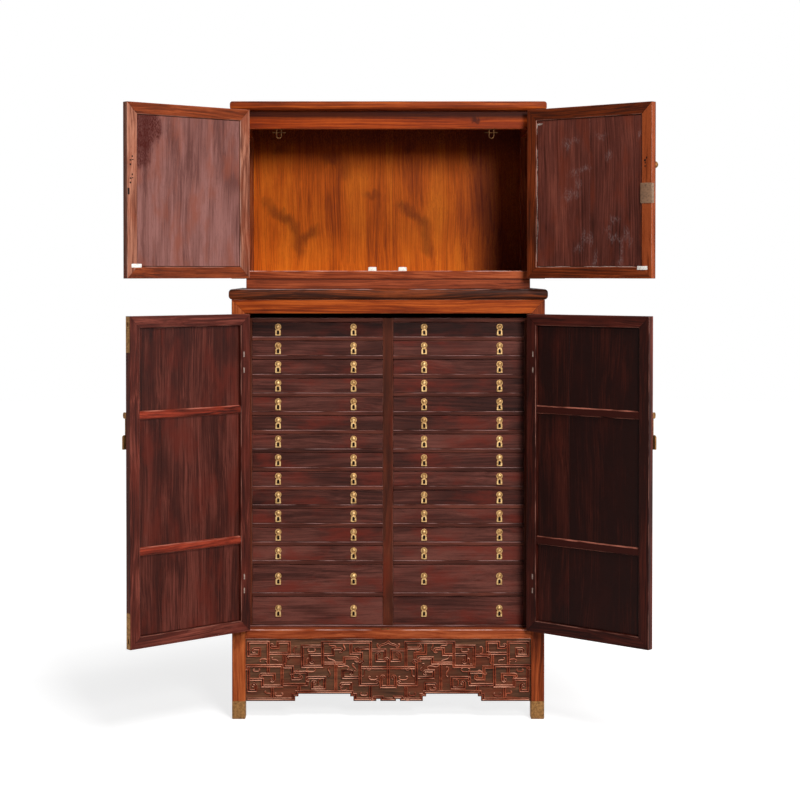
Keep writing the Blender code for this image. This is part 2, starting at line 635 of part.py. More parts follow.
def carved_apron(name):
    """Build the apron: a stepped board whose ground is cut down round the bands of a right-angled fret.

    The front is divided at the edges of the bands and of the stepped outline. Cells outside the outline are
    left out, the rest is given its thickness, and the cells that lie in a band are raised.
    """
    rectangles = fret_rectangles()
    steps_x = [sign * u * FRET_STEP for u, rise in APRON_OUTLINE for sign in (-1, 1)]
    steps_z = [APRON_LOW + rise * FRET_STEP for u, rise in APRON_OUTLINE]
    xs = grid_lines(steps_x + [x for r in rectangles for x in r[:2]], -HALF_FIT, HALF_FIT)
    zs = grid_lines(steps_z + [z for r in rectangles for z in r[2:]], APRON_LOW, APRON_LOW + APRON_HEIGHT)
    ground_y = FRONT_Y + APRON_SETBACK + APRON_RELIEF
    bm = bmesh.new()
    verts = {(i, j): bm.verts.new((x, ground_y, z)) for i, x in enumerate(xs) for j, z in enumerate(zs)}
    bands = []
    for i in range(len(xs) - 1):
        for j in range(len(zs) - 1):
            x, z = (xs[i] + xs[i + 1]) / 2, (zs[j] + zs[j + 1]) / 2
            if z < apron_floor(x):
                continue
            face = bm.faces.new((verts[i, j], verts[i + 1, j], verts[i + 1, j + 1], verts[i, j + 1]))
            if any(r[0] < x < r[1] and r[2] < z < r[3] for r in rectangles):
                bands.append(face)
    bmesh.ops.delete(bm, geom=[vert for vert in bm.verts if not vert.link_faces], context="VERTS")
    extrude(bm, bm.faces[:], Vector((0.0, APRON_THICKNESS - APRON_RELIEF, 0.0)))
    extrude(bm, bands, Vector((0.0, -APRON_RELIEF, 0.0)))
    bmesh.ops.recalc_face_normals(bm, faces=bm.faces)
    bmesh.ops.dissolve_limit(bm, angle_limit=math.radians(1.0), verts=bm.verts, edges=bm.edges)
    return to_object(bm, name)


def drawer_cells():
    """Return the drawer cells from the top: column, row, lower level and height of each."""
    cells = []
    level = RACK_HIGH - RACK_TOP
    for row in range(ROWS):
        height = SHALLOW_ROW_HEIGHT if row < SHALLOW_ROWS else DEEP_ROW_HEIGHT
        level -= height
        cells.extend((column, row, level, height) for column in (-1, 1))
        level -= RACK_STRIP
    return cells


def drawer_rack(name):
    """Build the rack as one case with a cell cut through for each drawer."""
    body = to_object(block((-HALF_FIT, HALF_FIT), (RACK_FRONT_Y, RACK_BACK_Y), (RACK_LOW, RACK_HIGH)), name)
    through = (RACK_FRONT_Y - SUNK, RACK_BACK_Y + SUNK)
    cells = []
    for column, row, level, height in drawer_cells():
        x_span = sorted((column * CELL_INNER_X, column * CELL_OUTER_X))
        cells.append(block(x_span, through, (level, level + height)))
    combine(body, cells, "DIFFERENCE")
    return body


def drawer_pull(x, z):
    """Return a pull on a drawer front at zero depth: a turned boss and a slotted pendant under it."""
    boss = turned(((0.0, -SUNK), (BOSS_RADIUS, -SUNK), (BOSS_RADIUS, BOSS_RIM), (BOSS_NECK_RADIUS, BOSS_NECK),
                   (0.0, BOSS_HEIGHT)), 8, "Y")
    top = -BOSS_RADIUS + PENDANT_LAP
    half = PENDANT_WIDTH / 2
    outline = ((-half, top), (half, top), (half, top - PENDANT_HEIGHT), (-half, top - PENDANT_HEIGHT))
    pendant = bmesh.new()
    plate = pendant.faces.new([pendant.verts.new((u, -PENDANT_BACK, v)) for u, v in outline])
    frame = inset(pendant, plate, PENDANT_BAR)
    bmesh.ops.delete(pendant, geom=[plate], context="FACES")
    extrude(pendant, frame, Vector((0.0, -PENDANT_THICKNESS, 0.0)))
    return [moved(boss, x=x, z=z), moved(pendant, x=x, z=z)]


def drawer_mesh(name, height, shift):
    """Build one drawer about the middle of the lower edge of its front: a box open at the top, with two pulls."""
    half = DRAWER_WIDTH / 2
    tall = height - SEAT_GAP - DRAWER_TOP_GAP
    bm = block((-half, half), (0.0, DRAWER_LENGTH), (0.0, tall))
    mouth = face_towards(bm, (0.0, 0.0, 1.0))
    inset(bm, mouth, DRAWER_WALL)
    front_edge = [vert for vert in mouth.verts if vert.co.y < DRAWER_LENGTH / 2]
    bmesh.ops.translate(bm, vec=(0.0, DRAWER_FRONT - DRAWER_WALL, 0.0), verts=front_edge)
    extrude(bm, [mouth], Vector((0.0, 0.0, DRAWER_BOTTOM - tall)))
    body = to_object(bm, name)
    pull_height = 2 * BOSS_RADIUS + PENDANT_HEIGHT - PENDANT_LAP
    level = tall / 2 + pull_height / 2 - BOSS_RADIUS - PULL_DROP
    pulls = [solid for side in (-1, 1) for solid in drawer_pull(shift + side * PULL_SPREAD / 2, level)]
    combine(body, pulls, "UNION")
    return body


def drawers(materials):
    """Place all drawers: one body for each column and row height, shared by its copies."""
    bodies = {}
    for column, row, level, height in drawer_cells():
        name = f"drawer_{'left' if column < 0 else 'right'}_{row + 1:02d}"
        if (column, height) in bodies:
            body = bpy.data.objects.new(name, bodies[column, height])
            bpy.context.scene.collection.objects.link(body)
        else:
            body = drawer_mesh(name, height, LEFT_PULL_SHIFT if column < 0 else RIGHT_PULL_SHIFT)
            dress(body, materials["dark_wood"])
            bodies[column, height] = body.data
        body.location = (column * DRAWER_CENTRE_X, DRAWER_FRONT_Y, level + SEAT_GAP)


def hinge_axis(name, side, opening):
    """Make the empty that stands on a door's hinge axis and turns the door to its rest pose."""
    axis = bpy.data.objects.new(name, None)
    axis.location = (side * AXIS_X, AXIS_Y, 0.0)
    axis.rotation_euler = (0.0, 0.0, side * opening)
    bpy.context.scene.collection.objects.link(axis)
    return axis


def door_section(panel_thickness):
    """Return the section of a door's frame: distance in from the outer edge and depth."""
    slot_front = DOOR_FRONT + PANEL_FRONT_RECESS + PANEL_STEP - SEAT_GAP
    slot_back = slot_front + TONGUE_THICKNESS + 2 * SEAT_GAP
    bed = DOOR_MEMBER - PANEL_GROOVE
    return ((0.0, DOOR_FRONT), (DOOR_MEMBER - DOOR_ARRIS, DOOR_FRONT), (DOOR_MEMBER, DOOR_FRONT + DOOR_ARRIS),
            (DOOR_MEMBER, slot_front), (bed, slot_front), (bed, slot_back), (DOOR_MEMBER, slot_back),
            (DOOR_MEMBER, DOOR_BACK - DOOR_ARRIS), (DOOR_MEMBER - DOOR_ARRIS, DOOR_BACK), (0.0, DOOR_BACK))


def mitred_frame(x_span, z_span, section):
    """Carry a section round a rectangle so that its four members meet in mitres."""
    bm = bmesh.new()
    corners = ((x_span[0], z_span[0], 1, 1), (x_span[1], z_span[0], -1, 1),
               (x_span[1], z_span[1], -1, -1), (x_span[0], z_span[1], 1, -1))
    loops = [[bm.verts.new((x + dx * inset, depth, z + dz * inset)) for inset, depth in section]
             for x, z, dx, dz in corners]
    for here, there in zip(loops, loops[1:] + loops[:1]):
        for i in range(len(section)):
            bm.faces.new((here[i - 1], here[i], there[i], there[i - 1]))
    return bm


def door_panel(name, z_span, thickness):
    """Build a door's panel: a tongue in the grooves of the frame and a field raised on both faces."""
    reach = DOOR_MEMBER - PANEL_GROOVE + SEAT_GAP
    front = DOOR_FRONT + PANEL_FRONT_RECESS + PANEL_STEP
    bm = block((DOOR_HINGE_EDGE + reach, DOOR_FREE_EDGE - reach), (front, front + TONGUE_THICKNESS),
               (z_span[0] + reach, z_span[1] - reach))
    margin = PANEL_GROOVE - SEAT_GAP + PANEL_EDGE_GAP
    back_rise = thickness - PANEL_STEP - TONGUE_THICKNESS
    for direction, rise in ((-1.0, PANEL_STEP), (1.0, back_rise)):
        field = face_towards(bm, (0.0, direction, 0.0))
        inset(bm, field, margin)
        extrude(bm, [field], Vector((0.0, direction * rise, 0.0)))
    return to_object(bm, name)


def battens(door_low, panel_thickness):
    """Return the battens behind a lower door's panel, tenoned into its stiles."""
    bed = DOOR_FRONT + PANEL_FRONT_RECESS + panel_thickness + SEAT_GAP
    crown = DOOR_BACK - BATTEN_SINK
    start = DOOR_HINGE_EDGE + DOOR_MEMBER - BATTEN_TENON
    end = DOOR_FREE_EDGE - DOOR_MEMBER + BATTEN_TENON
    solids = []
    for level in BATTEN_LEVELS:
        low, high = door_low + level - BATTEN_HEIGHT / 2, door_low + level + BATTEN_HEIGHT / 2
        outline = ((bed, low), (bed, high), (crown, high - BATTEN_CHAMFER), (crown, low + BATTEN_CHAMFER))
        solids.append(prism(outline, "X", start, end))
    return solids


def lock_staple(door_low):
    """Return the staple of a lower door: a plate, two lugs and the pin between them."""
    x, z = DOOR_FREE_EDGE - STAPLE_EDGE, door_low + STAPLE_LEVEL
    half = STAPLE_PLATE_WIDTH / 2
    plate = block((x - half, x + half), (DOOR_FRONT - HINGE_LEAF_THICKNESS, DOOR_FRONT + LEAF_SUNK),
                  (z - STAPLE_PLATE_HEIGHT / 2, z + STAPLE_PLATE_HEIGHT / 2))
    inner = LATCH_EYE_LENGTH / 2 + SEAT_GAP
    tip = DOOR_FRONT - STAPLE_OUT - STAPLE_LUG_REACH
    rise = STAPLE_LUG_HEIGHT / 2
    outline = ((DOOR_FRONT, z - rise), (DOOR_FRONT, z + rise), (tip + STAPLE_LUG_REACH, z + rise),
               (tip, z + rise - STAPLE_LUG_REACH), (tip, z - rise + STAPLE_LUG_REACH),
               (tip + STAPLE_LUG_REACH, z - rise))
    lugs = [prism(outline, "X", x + side * inner, x + side * (inner + STAPLE_LUG)) for side in (-1, 1)]
    reach = inner + STAPLE_LUG / 2
    pin = turned(((0.0, -reach), (STAPLE_PIN_RADIUS, -reach), (STAPLE_PIN_RADIUS, reach), (0.0, reach)), 8, "X")
    return [plate, *lugs, moved(pin, x=x, y=DOOR_FRONT - STAPLE_OUT, z=z)]


def latch_pendant(name):
    """Build the pendant that hangs from a staple, about its own pin: an eye, a strap and a tail."""
    half_eye = LATCH_EYE_LENGTH / 2
    bore = STAPLE_PIN_RADIUS + SEAT_GAP
    eye = turned(((bore, -half_eye), (LATCH_EYE_RADIUS, -half_eye), (LATCH_EYE_RADIUS, half_eye),
                  (bore, half_eye)), 12, "X", closed=True)
    body = to_object(eye, name)
    half_strap = LATCH_STRAP_THICKNESS / 2
    strap = block((-LATCH_STRAP_WIDTH / 2, LATCH_STRAP_WIDTH / 2), (-half_strap, half_strap),
                  (-LATCH_TAIL_TOP - SUNK, SUNK - LATCH_EYE_RADIUS))
    half, low = LATCH_TAIL_WIDTH / 2, -LATCH_TAIL_TOP - LATCH_TAIL_HEIGHT
    outline = ((-half, low), (half, low), (half, -LATCH_TAIL_TOP - LATCH_TAIL_CHAMFER),
               (half - LATCH_TAIL_CHAMFER, -LATCH_TAIL_TOP), (LATCH_TAIL_CHAMFER - half, -LATCH_TAIL_TOP),
               (-half, -LATCH_TAIL_TOP - LATCH_TAIL_CHAMFER))
    tail = prism(outline, "Y", -LATCH_TAIL_THICKNESS / 2, LATCH_TAIL_THICKNESS / 2)
    combine(body, [strap, tail], "UNION")
    return body


def door_knob(door_low):
    """Return the turned boss on the front of the upper right door."""
    base = KNOB_RADIUS - SUNK
    profile = ((0.0, -SUNK), (base, -SUNK), (base, 2 * SUNK), (KNOB_STEM_RADIUS, 4 * SUNK),
               (KNOB_STEM_RADIUS, KNOB_OUT - KNOB_RADIUS), (KNOB_RADIUS, KNOB_OUT - KNOB_STEM_RADIUS),
               (KNOB_STEM_RADIUS, KNOB_OUT), (0.0, KNOB_OUT))
    return moved(turned(profile, 12, "Y"), x=DOOR_FREE_EDGE - KNOB_EDGE, y=DOOR_FRONT, z=door_low + KNOB_LEVEL)


def bolt_cuts(end, towards):
    """Return the tunnel and the thumb slot of a flush bolt at one end of the lower left door."""
    half = BOLT_SIZE / 2 + BOLT_GAP
    deep = end - towards * (BOLT_REST_DEPTH + BOLT_LENGTH + BOLT_TUNNEL_SPARE)
    tunnel = block((BOLT_X - half, BOLT_X + half), (BOLT_Y - half, BOLT_Y + half), sorted((deep, end + towards * SUNK)))
    thumb = end - towards * (BOLT_REST_DEPTH + BOLT_KNOB_OFFSET)
    slot_half = BOLT_KNOB_SIZE / 2 + BOLT_GAP
    slot_span = sorted((thumb - towards * slot_half, thumb + towards * (BOLT_TRAVEL + slot_half)))
    slot = block((BOLT_X, DOOR_FREE_EDGE + SUNK), (BOLT_Y - slot_half, BOLT_Y + slot_half), slot_span)
    return [tunnel, slot]


def flush_bolt(name, end, towards):
    """Build a flush bolt drawn back in its tunnel, with the thumb piece that stands in the slot."""
    half = BOLT_SIZE / 2
    tip = end - towards * BOLT_REST_DEPTH
    body = to_object(block((BOLT_X - half, BOLT_X + half), (BOLT_Y - half, BOLT_Y + half),
                           sorted((tip, tip - towards * BOLT_LENGTH))), name)
    thumb = tip - towards * BOLT_KNOB_OFFSET
    knob_half = BOLT_KNOB_SIZE / 2
    knob = block((BOLT_X, DOOR_FREE_EDGE - SEAT_GAP), (BOLT_Y - knob_half, BOLT_Y + knob_half),
                 (thumb - knob_half, thumb + knob_half))
    combine(body, [knob], "UNION")
    return body


def door(label, side, z_span, panel_thickness, hinge_inset, materials):
    """Build one door as a left door, mirror it where it hangs on the right, and hang it on its axis."""
    lower = z_span[0] < BASE_FRAME_HIGH
    axis = hinge_axis(f"{label}_hinge_axis", side, LOWER_DOOR_OPEN if lower else UPPER_DOOR_OPEN)
    frame = to_object(mitred_frame((DOOR_HINGE_EDGE, DOOR_FREE_EDGE), z_span, door_section(panel_thickness)),
                      f"{label}_frame")
    panel = door_panel(f"{label}_panel", z_span, panel_thickness)
    fittings = [solid for level in hinge_levels(*z_span, hinge_inset) for solid in door_hinge(level)]
    if lower:
        fittings += battens(z_span[0], panel_thickness) + lock_staple(z_span[0])
    elif side > 0:
        fittings.append(door_knob(z_span[0]))
    combine(frame, fittings, "UNION")
    if lower and side < 0:
        combine(frame, bolt_cuts(z_span[1], 1) + bolt_cuts(z_span[0], -1), "DIFFERENCE")
        for name, end, towards in (("upper_flush_bolt", z_span[1], 1), ("lower_flush_bolt", z_span[0], -1)):
            dress(flush_bolt(name, end, towards), materials["brass"], axis)
    if side > 0:
        mirror_to_right(frame)
        mirror_to_right(panel)
    dress(frame, materials["door_wood"], axis)
    dress(panel, materials["panel_wood"], axis)
    if lower:
        pendant = latch_pendant(f"{label}_pendant")
        dress(pendant, materials["brass"], axis)
        pendant.location = (-side * (DOOR_FREE_EDGE - STAPLE_EDGE), DOOR_FRONT - STAPLE_OUT, z_span[0] + STAPLE_LEVEL)


def base_carcass(materials):
    """Build the fixed pieces of the base."""
    left, right = base_end("base_left_end"), base_end("base_right_end")
    mirror_to_right(right)
    for body in (left, right):
        dress(body, materials["warm_wood"])
    dress(front_top_rail("base_front_top_rail"), materials["warm_wood"])
    dress(front_bottom_rail("base_front_bottom_rail"), materials["warm_wood"])
    dress(back_panel("base_back_panel", (BOTTOM_RAIL_LOW, BASE_FRAME_HIGH)), materials["dark_wood"])
    dress(carved_apron("carved_apron"), materials["door_wood"])
    dress(drawer_rack("drawer_rack"), materials["rack_wood"])
    for across, x in (("left", -1), ("right", 1)):
        for along, y in (("front", FRONT_Y + POST_DEPTH / 2), ("rear", REAR_Y - POST_DEPTH / 2)):
            cap = foot_cap(f"{along}_{across}_foot_cap", x * (HALF_WIDTH - POST_WIDTH / 2), y)
            dress(cap, materials["dull_brass"])
    top = rounded_board("base_top_board", HALF_WIDTH + BASE_TOP_OVERHANG,
                        (FRONT_Y - BASE_TOP_OVERHANG, REAR_Y + BASE_TOP_OVERHANG),
                        (BASE_TOP_LOW, BASE_TOP_HIGH), BASE_TOP_ROUND)
    dress(top, materials["cap_wood"])


def hat_carcass(materials):
    """Build the fixed pieces of the hat chest."""
    left, right = hat_end("hat_left_end"), hat_end("hat_right_end")
    mirror_to_right(right)
    for body in (left, right):
        dress(body, materials["warm_wood"])
    dress(hat_floor("hat_floor"), materials["warm_wood"])
    dress(hat_top_rail("hat_front_top_rail"), materials["warm_wood"])
    dress(back_panel("hat_back_panel", (HAT_LOW, HAT_FRAME_HIGH)), materials["amber_wood"])
    top = rounded_board("hat_top_board", HALF_WIDTH + HAT_TOP_OVERHANG,
                        (FRONT_Y - HAT_TOP_OVERHANG, REAR_Y + HAT_TOP_OVERHANG),
                        (HAT_TOP_LOW, HAT_TOP_HIGH), HAT_TOP_ROUND)
    dress(top, materials["warm_wood"])


def build():
    """Build the whole cabinet."""
    clear_scene()
    materials = make_finishes()
    base_carcass(materials)
    hat_carcass(materials)
    drawers(materials)
    lower = (LOWER_DOOR_LOW, LOWER_DOOR_HIGH)
    upper = (UPPER_DOOR_LOW, UPPER_DOOR_HIGH)
    for across, side in (("left", -1), ("right", 1)):
        door(f"lower_{across}_door", side, lower, LOWER_PANEL_THICKNESS, LOWER_HINGE_INSET, materials)
        door(f"upper_{across}_door", side, upper, UPPER_PANEL_THICKNESS, UPPER_HINGE_INSET, materials)


build()
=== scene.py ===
"""Looks of a compound cabinet in dark hardwood: a hat chest on a base with thirty drawers, its doors open.

Every piece is a closed surface worked out as whole arrays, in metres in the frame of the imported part.
Boards carry their own grain: each point knows its place along, across and through its board.
"""

import json
import logging
import math
from dataclasses import dataclass, field, replace
from enum import Enum
from typing import Any, Sequence

import bmesh
import bpy
import numpy as np
from numpy.typing import ArrayLike, NDArray
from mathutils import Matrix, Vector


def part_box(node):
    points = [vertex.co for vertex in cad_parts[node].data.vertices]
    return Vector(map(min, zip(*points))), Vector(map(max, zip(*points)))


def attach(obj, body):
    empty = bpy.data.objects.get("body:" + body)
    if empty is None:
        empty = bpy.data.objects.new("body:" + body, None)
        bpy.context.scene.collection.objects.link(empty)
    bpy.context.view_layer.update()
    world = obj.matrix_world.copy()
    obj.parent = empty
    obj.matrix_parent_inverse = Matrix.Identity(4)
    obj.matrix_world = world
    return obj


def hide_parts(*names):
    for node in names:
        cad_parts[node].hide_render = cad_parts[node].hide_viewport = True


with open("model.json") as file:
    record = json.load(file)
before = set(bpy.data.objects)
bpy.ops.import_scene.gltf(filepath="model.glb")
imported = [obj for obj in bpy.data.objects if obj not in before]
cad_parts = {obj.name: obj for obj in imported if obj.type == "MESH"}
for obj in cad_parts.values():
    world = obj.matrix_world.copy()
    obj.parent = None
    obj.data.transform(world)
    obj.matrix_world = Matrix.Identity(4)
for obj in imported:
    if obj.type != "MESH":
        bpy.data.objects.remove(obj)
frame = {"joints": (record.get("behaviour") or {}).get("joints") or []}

Array = NDArray[np.float64]
Indices = NDArray[np.int64]
Colour = tuple[int, int, int]
Span = tuple[float, float]
Socket = bpy.types.NodeSocket

LOG = logging.getLogger("cabinet")
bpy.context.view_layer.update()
LOG_SIZE = 4.0
FLIP = np.array((-1.0, 1.0))
ROUND = 0.999
MITRE_GAP = 0.00025


class Axis(Enum):
    """Direction that the grain of a board follows."""

    ACROSS = 0
    DEEP = 1
    UPRIGHT = 2


class Side(Enum):
    """Hand of a door or end, with its sign along the width."""

    LEFT = -1
    RIGHT = 1


class Tier(Enum):
    """Tier of the cabinet that a door belongs to."""

    LOWER = "lower"
    UPPER = "upper"


def light(colour: Colour) -> tuple[float, float, float, float]:
    """Turn a colour as it is seen, in steps of 255, into linear light by the usual screen curve.

    Args:
        colour: Red, green and blue steps.

    Returns:
        The linear colour, opaque.
    """
    seen = np.array(colour) / 255.0
    linear = np.where(seen <= 0.04045, seen / 12.92, ((seen + 0.055) / 1.055) ** 2.4)
    return (*(float(value) for value in linear), 1.0)


@dataclass
class Form:
    """Closed surfaces held as whole arrays.

    Attributes:
        points: Places of the points.
        faces: One array of corner numbers for each corner count.
        wear: For each of those arrays, how far every face is lightened, from 0 to 1: rubbed arrises, and the
            painted highlight on the fret's upper flanks.
        grain: Place of every point along, across and through its board.
        tone: Lightness step of every point: the tone of its board, and on some parts painted light or shade.
    """

    points: Array
    faces: list[Indices]
    wear: list[Array]
    grain: Array
    tone: Array

    @classmethod
    def of(cls, points: Array, faces: Sequence[Indices], wear: Sequence[Array] | None = None) -> "Form":
        """Take bare arrays as a form with no lightened faces and its grain along the width.

        Args:
            points: Places of the points, in any leading shape.
            faces: Arrays of corner numbers.
            wear: Lightening of the faces of each array, for rubbing and painted highlights.

        Returns:
            The form.
        """
        flat = np.asarray(points, float).reshape(-1, 3)
        kept = [np.asarray(part, int) for part in faces if len(part)]
        if wear is None:
            wear = [np.zeros(len(part)) for part in kept]
        worn_and_sheen = [np.asarray(part, float) for part in wear]
        return cls(flat, kept, worn_and_sheen, flat.copy(), np.zeros(len(flat)))

    def moved(self, x: float = 0.0, y: float = 0.0, z: float = 0.0) -> "Form":
        """Return the form shifted, with its grain left as it is."""
        return replace(self, points=self.points + np.array((x, y, z)))

    def mirrored(self) -> "Form":
        """Return the form reflected across the width, with its faces turned to stay outward."""
        return replace(self, points=self.points * np.array((-1.0, 1.0, 1.0)),
                       faces=[part[:, ::-1] for part in self.faces])

    def swung(self, angle: float, pivot: Span) -> "Form":
        """Turn the form about an upright axis through the origin and carry the axis to a place.

        Args:
            angle: Turn in radians.
            pivot: Place of the axis along the width and the depth.

        Returns:
            The turned form.
        """
        turn = np.array(((math.cos(angle), -math.sin(angle), 0.0), (math.sin(angle), math.cos(angle), 0.0),
                         (0.0, 0.0, 1.0)))
        return replace(self, points=self.points @ turn.T + np.array((*pivot, 0.0)))

    def laid(self) -> "Form":
        """Return the form laid back from upright, its height now its depth and its depth downwards."""
        turn = np.array(((1.0, 0.0, 0.0), (0.0, 0.0, 1.0), (0.0, -1.0, 0.0)))
        return replace(self, points=self.points @ turn.T)

    def toned(self, step: ArrayLike) -> "Form":
        """Return the form made lighter by a step, the same for all points or one for each."""
        return replace(self, tone=self.tone + step)

    def grained(self, axis: Axis, seed: int, tone: float = 0.0, spread: float = 0.25) -> "Form":
        """Lay the grain along an axis; every separate board takes it from another part of the log.

        Args:
            axis: Direction of the grain.
            seed: Number that fixes the choice.
            tone: Lightness step of all the boards.
            spread: Half range of the lightness steps between boards.

        Returns:
            The form with its grain.
        """
        dice = np.random.default_rng(seed)
        islands = self.islands()
        count = int(islands.max()) + 1
        along = np.roll(self.points, -axis.value, axis=1)
        shift = dice.uniform(-LOG_SIZE, LOG_SIZE, (count, 3))
        steps = tone + dice.uniform(-spread, spread, count)
        return replace(self, grain=along + shift[islands], tone=steps[islands])

    def islands(self) -> Indices:
        """Number the separate surfaces by letting the lowest point number run along the faces until it rests.

        Returns:
            The number of each point's surface.
        """
        label = np.arange(len(self.points))
        while True:
            before = label.copy()
            for part in self.faces:
                lowest = np.repeat(label[part].min(axis=1), part.shape[1])
                np.minimum.at(label, part.ravel(), lowest)
            label = label[label]
            if np.array_equal(before, label):
                return np.unique(label, return_inverse=True)[1]


def join(*forms: Form) -> Form:
    """Set forms side by side in one.

    Args:
        forms: The forms.

    Returns:
        One form with all their surfaces.
    """
    starts = np.cumsum([0] + [len(form.points) for form in forms[:-1]])
    return Form(np.concatenate([form.points for form in forms]),
                [part + start for form, start in zip(forms, starts) for part in form.faces],
                [worn_and_sheen for form in forms for worn_and_sheen in form.wear],
                np.concatenate([form.grain for form in forms]), np.concatenate([form.tone for form in forms]))


def board_faces() -> tuple[Indices, Indices]:
    """Number the faces of a board with eased arrises, three points to a corner.

    Point 3 * corner + axis lies on the board's face across that axis; a corner counts 4, 2 and 1 for its high
    sides. Six broad faces and twelve arrises have four corners, and each cut corner has three.

    Returns:
        The four-cornered faces, broad ones first, and the three-cornered ones.
    """
    weight = np.array((4, 2, 1))
    ring = np.array(((0, 0), (1, 0), (1, 1), (0, 1)))
    axis = np.arange(3)
    second, third = (axis + 1) % 3, (axis + 2) % 3
    lap = ring[:, 0] * weight[second][:, None] + ring[:, 1] * weight[third][:, None]
    broad = 3 * (np.arange(2)[:, None] * weight[axis][:, None, None] + lap[:, None, :]) + axis[:, None, None]
    base = ring[:, 0] * weight[axis][:, None] + ring[:, 1] * weight[second][:, None]
    low, high = 3 * base, 3 * (base + weight[third][:, None])
    first, then = axis[:, None], second[:, None]
    eased = np.stack((low + first, low + then, high + then, high + first), -1)
    return np.concatenate((broad.reshape(6, 4), eased.reshape(12, 4))), np.arange(24).reshape(8, 3)


def boards(spans: ArrayLike, ease: float = 0.0008, worn_and_sheen: Sequence[int] = tuple(range(12))) -> Form:
    """Make boards with eased arrises.

    The point of a corner on the face across one axis stands at the full half size on that axis and at the
    half size less the ease on the two others.

    Args:
        spans: Lower and upper limit on each axis, for one board or a row of them.
        ease: Width of the eased arrises.
        worn_and_sheen: Numbers of the arrises that are lightened, as rubbed edges and painted highlights; 7
            is the upper front one.

    Returns:
        The boards.
    """
    limits = np.asarray(spans, float).reshape(-1, 3, 2)
    limits = np.sort(limits, axis=2)
    centre, half = limits.mean(axis=2), np.ptp(limits, axis=2) / 2
    corner = np.stack(np.meshgrid((-1, 1), (-1, 1), (-1, 1), indexing="ij"), -1).reshape(8, 1, 3)
    reach = half[:, None, None, :] - ease * (1.0 - np.eye(3))
    points = centre[:, None, None, :] + corner * reach
    four, three = board_faces()
    starts = 24 * np.arange(len(limits))[:, None, None]
    wear = np.tile(np.isin(np.arange(18) - 6, worn_and_sheen).astype(float), len(limits))
    return Form.of(points, [(four + starts).reshape(-1, 4), (three + starts).reshape(-1, 3)],
                   [wear, np.zeros(8 * len(limits))])


def ring_faces(levels: int, count: int) -> list[Indices]:
    """Number the faces of a stack of rings, which join each point to the next one and to the next ring's.

    Args:
        levels: Rings in the stack.
        count: Points on each ring.

    Returns:
        The faces between the rings, then the first and the last end.
    """
    here = np.arange(count)
    there = (here + 1) % count
    step = count * np.arange(levels - 1)[:, None]
    bands = np.stack((here + step, there + step, there + step + count, here + step + count), -1)
    return [bands.reshape(-1, 4), here[None, ::-1], here[None] + count * (levels - 1)]


def extruded(section: ArrayLike, start: ArrayLike, end: ArrayLike, axis: Axis,
             worn_and_sheen: Sequence[int] = ()) -> Form:
    """Carry a closed section along an axis between two ends that may be cut on the slope.

    Args:
        section: Outline on the two other axes, in their cyclic order after the axis.
        start: Place of the first end, for the whole outline or each of its points.
        end: Place of the other end.
        axis: Direction of travel.
        worn_and_sheen: Numbers of the outline's sides that are lightened arrises, for rubbing and painted
            highlights.

    Returns:
        The closed form.
    """
    outline = np.asarray(section, float)
    count = len(outline)
    ends = np.stack([np.broadcast_to(place, count) for place in (start, end)])
    rolled = np.concatenate((ends[..., None], np.broadcast_to(outline, (2, count, 2))), -1)
    wear = np.isin(np.arange(count), worn_and_sheen).astype(float)
    return Form.of(np.roll(rolled, axis.value, axis=2), ring_faces(2, count),
                   [wear, np.zeros(1), np.zeros(1)])


def mitred(x_span: Span, z_span: Span, section: ArrayLike, members: Sequence[int], worn_and_sheen: Sequence[int] = (),
           gap: float = MITRE_GAP) -> Form:
    """Carry a section round an upright rectangle as separate members whose ends meet on the mitre.

    A point of the section that lies a distance in from the outer edge also stands that distance in from both
    ends of its member.

    Args:
        x_span: Outer limits along the width.
        z_span: Outer limits in height.
        section: Distance in from the outer edge and depth of every point.
        members: Which members to make: 0 and 1 for the lower and upper rail, 2 and 3 for the stiles.
        worn_and_sheen: Numbers of the outline's sides that are lightened arrises, for rubbing and painted
            highlights.
        gap: Half width of the joint at each mitre.

    Returns:
        The members.
    """
    inset, depth = np.asarray(section, float).T
    made = []
    for member in members:
        rail, low = member < 2, member % 2 == 0
        run, rise = (x_span, z_span) if rail else (z_span, x_span)
        place = rise[0] + inset if low else rise[1] - inset
        outline = np.stack((depth, place) if rail else (place, depth), -1)
        axis = Axis.ACROSS if rail else Axis.UPRIGHT
        made.append(extruded(outline, run[0] + inset + gap, run[1] - inset - gap, axis, worn_and_sheen))
    return join(*made)


def framed(x_span: Span, z_span: Span, section: ArrayLike, seed: int, worn_and_sheen: Sequence[int] = (),
           flat: bool = False) -> Form:
    """Carry a section round a rectangle as four members with their grain along them.

    Args:
        x_span: Outer limits along the width.
        z_span: Outer limits in height, or in depth for a flat frame.
        section: Distance in from the outer edge and depth of every point.
        seed: Number that fixes the grain.
        worn_and_sheen: Numbers of the outline's sides that are lightened arrises, for rubbing and painted
            highlights.
        flat: Whether the frame is laid back.

    Returns:
        The frame.
    """
    pair, rest = (mitred(x_span, z_span, section, members, worn_and_sheen) for members in ((0, 1), (2, 3)))
    if flat:
        pair, rest = pair.laid(), rest.laid()
    return join(pair.grained(Axis.ACROSS, seed), rest.grained(Axis.DEEP if flat else Axis.UPRIGHT, seed + 1))


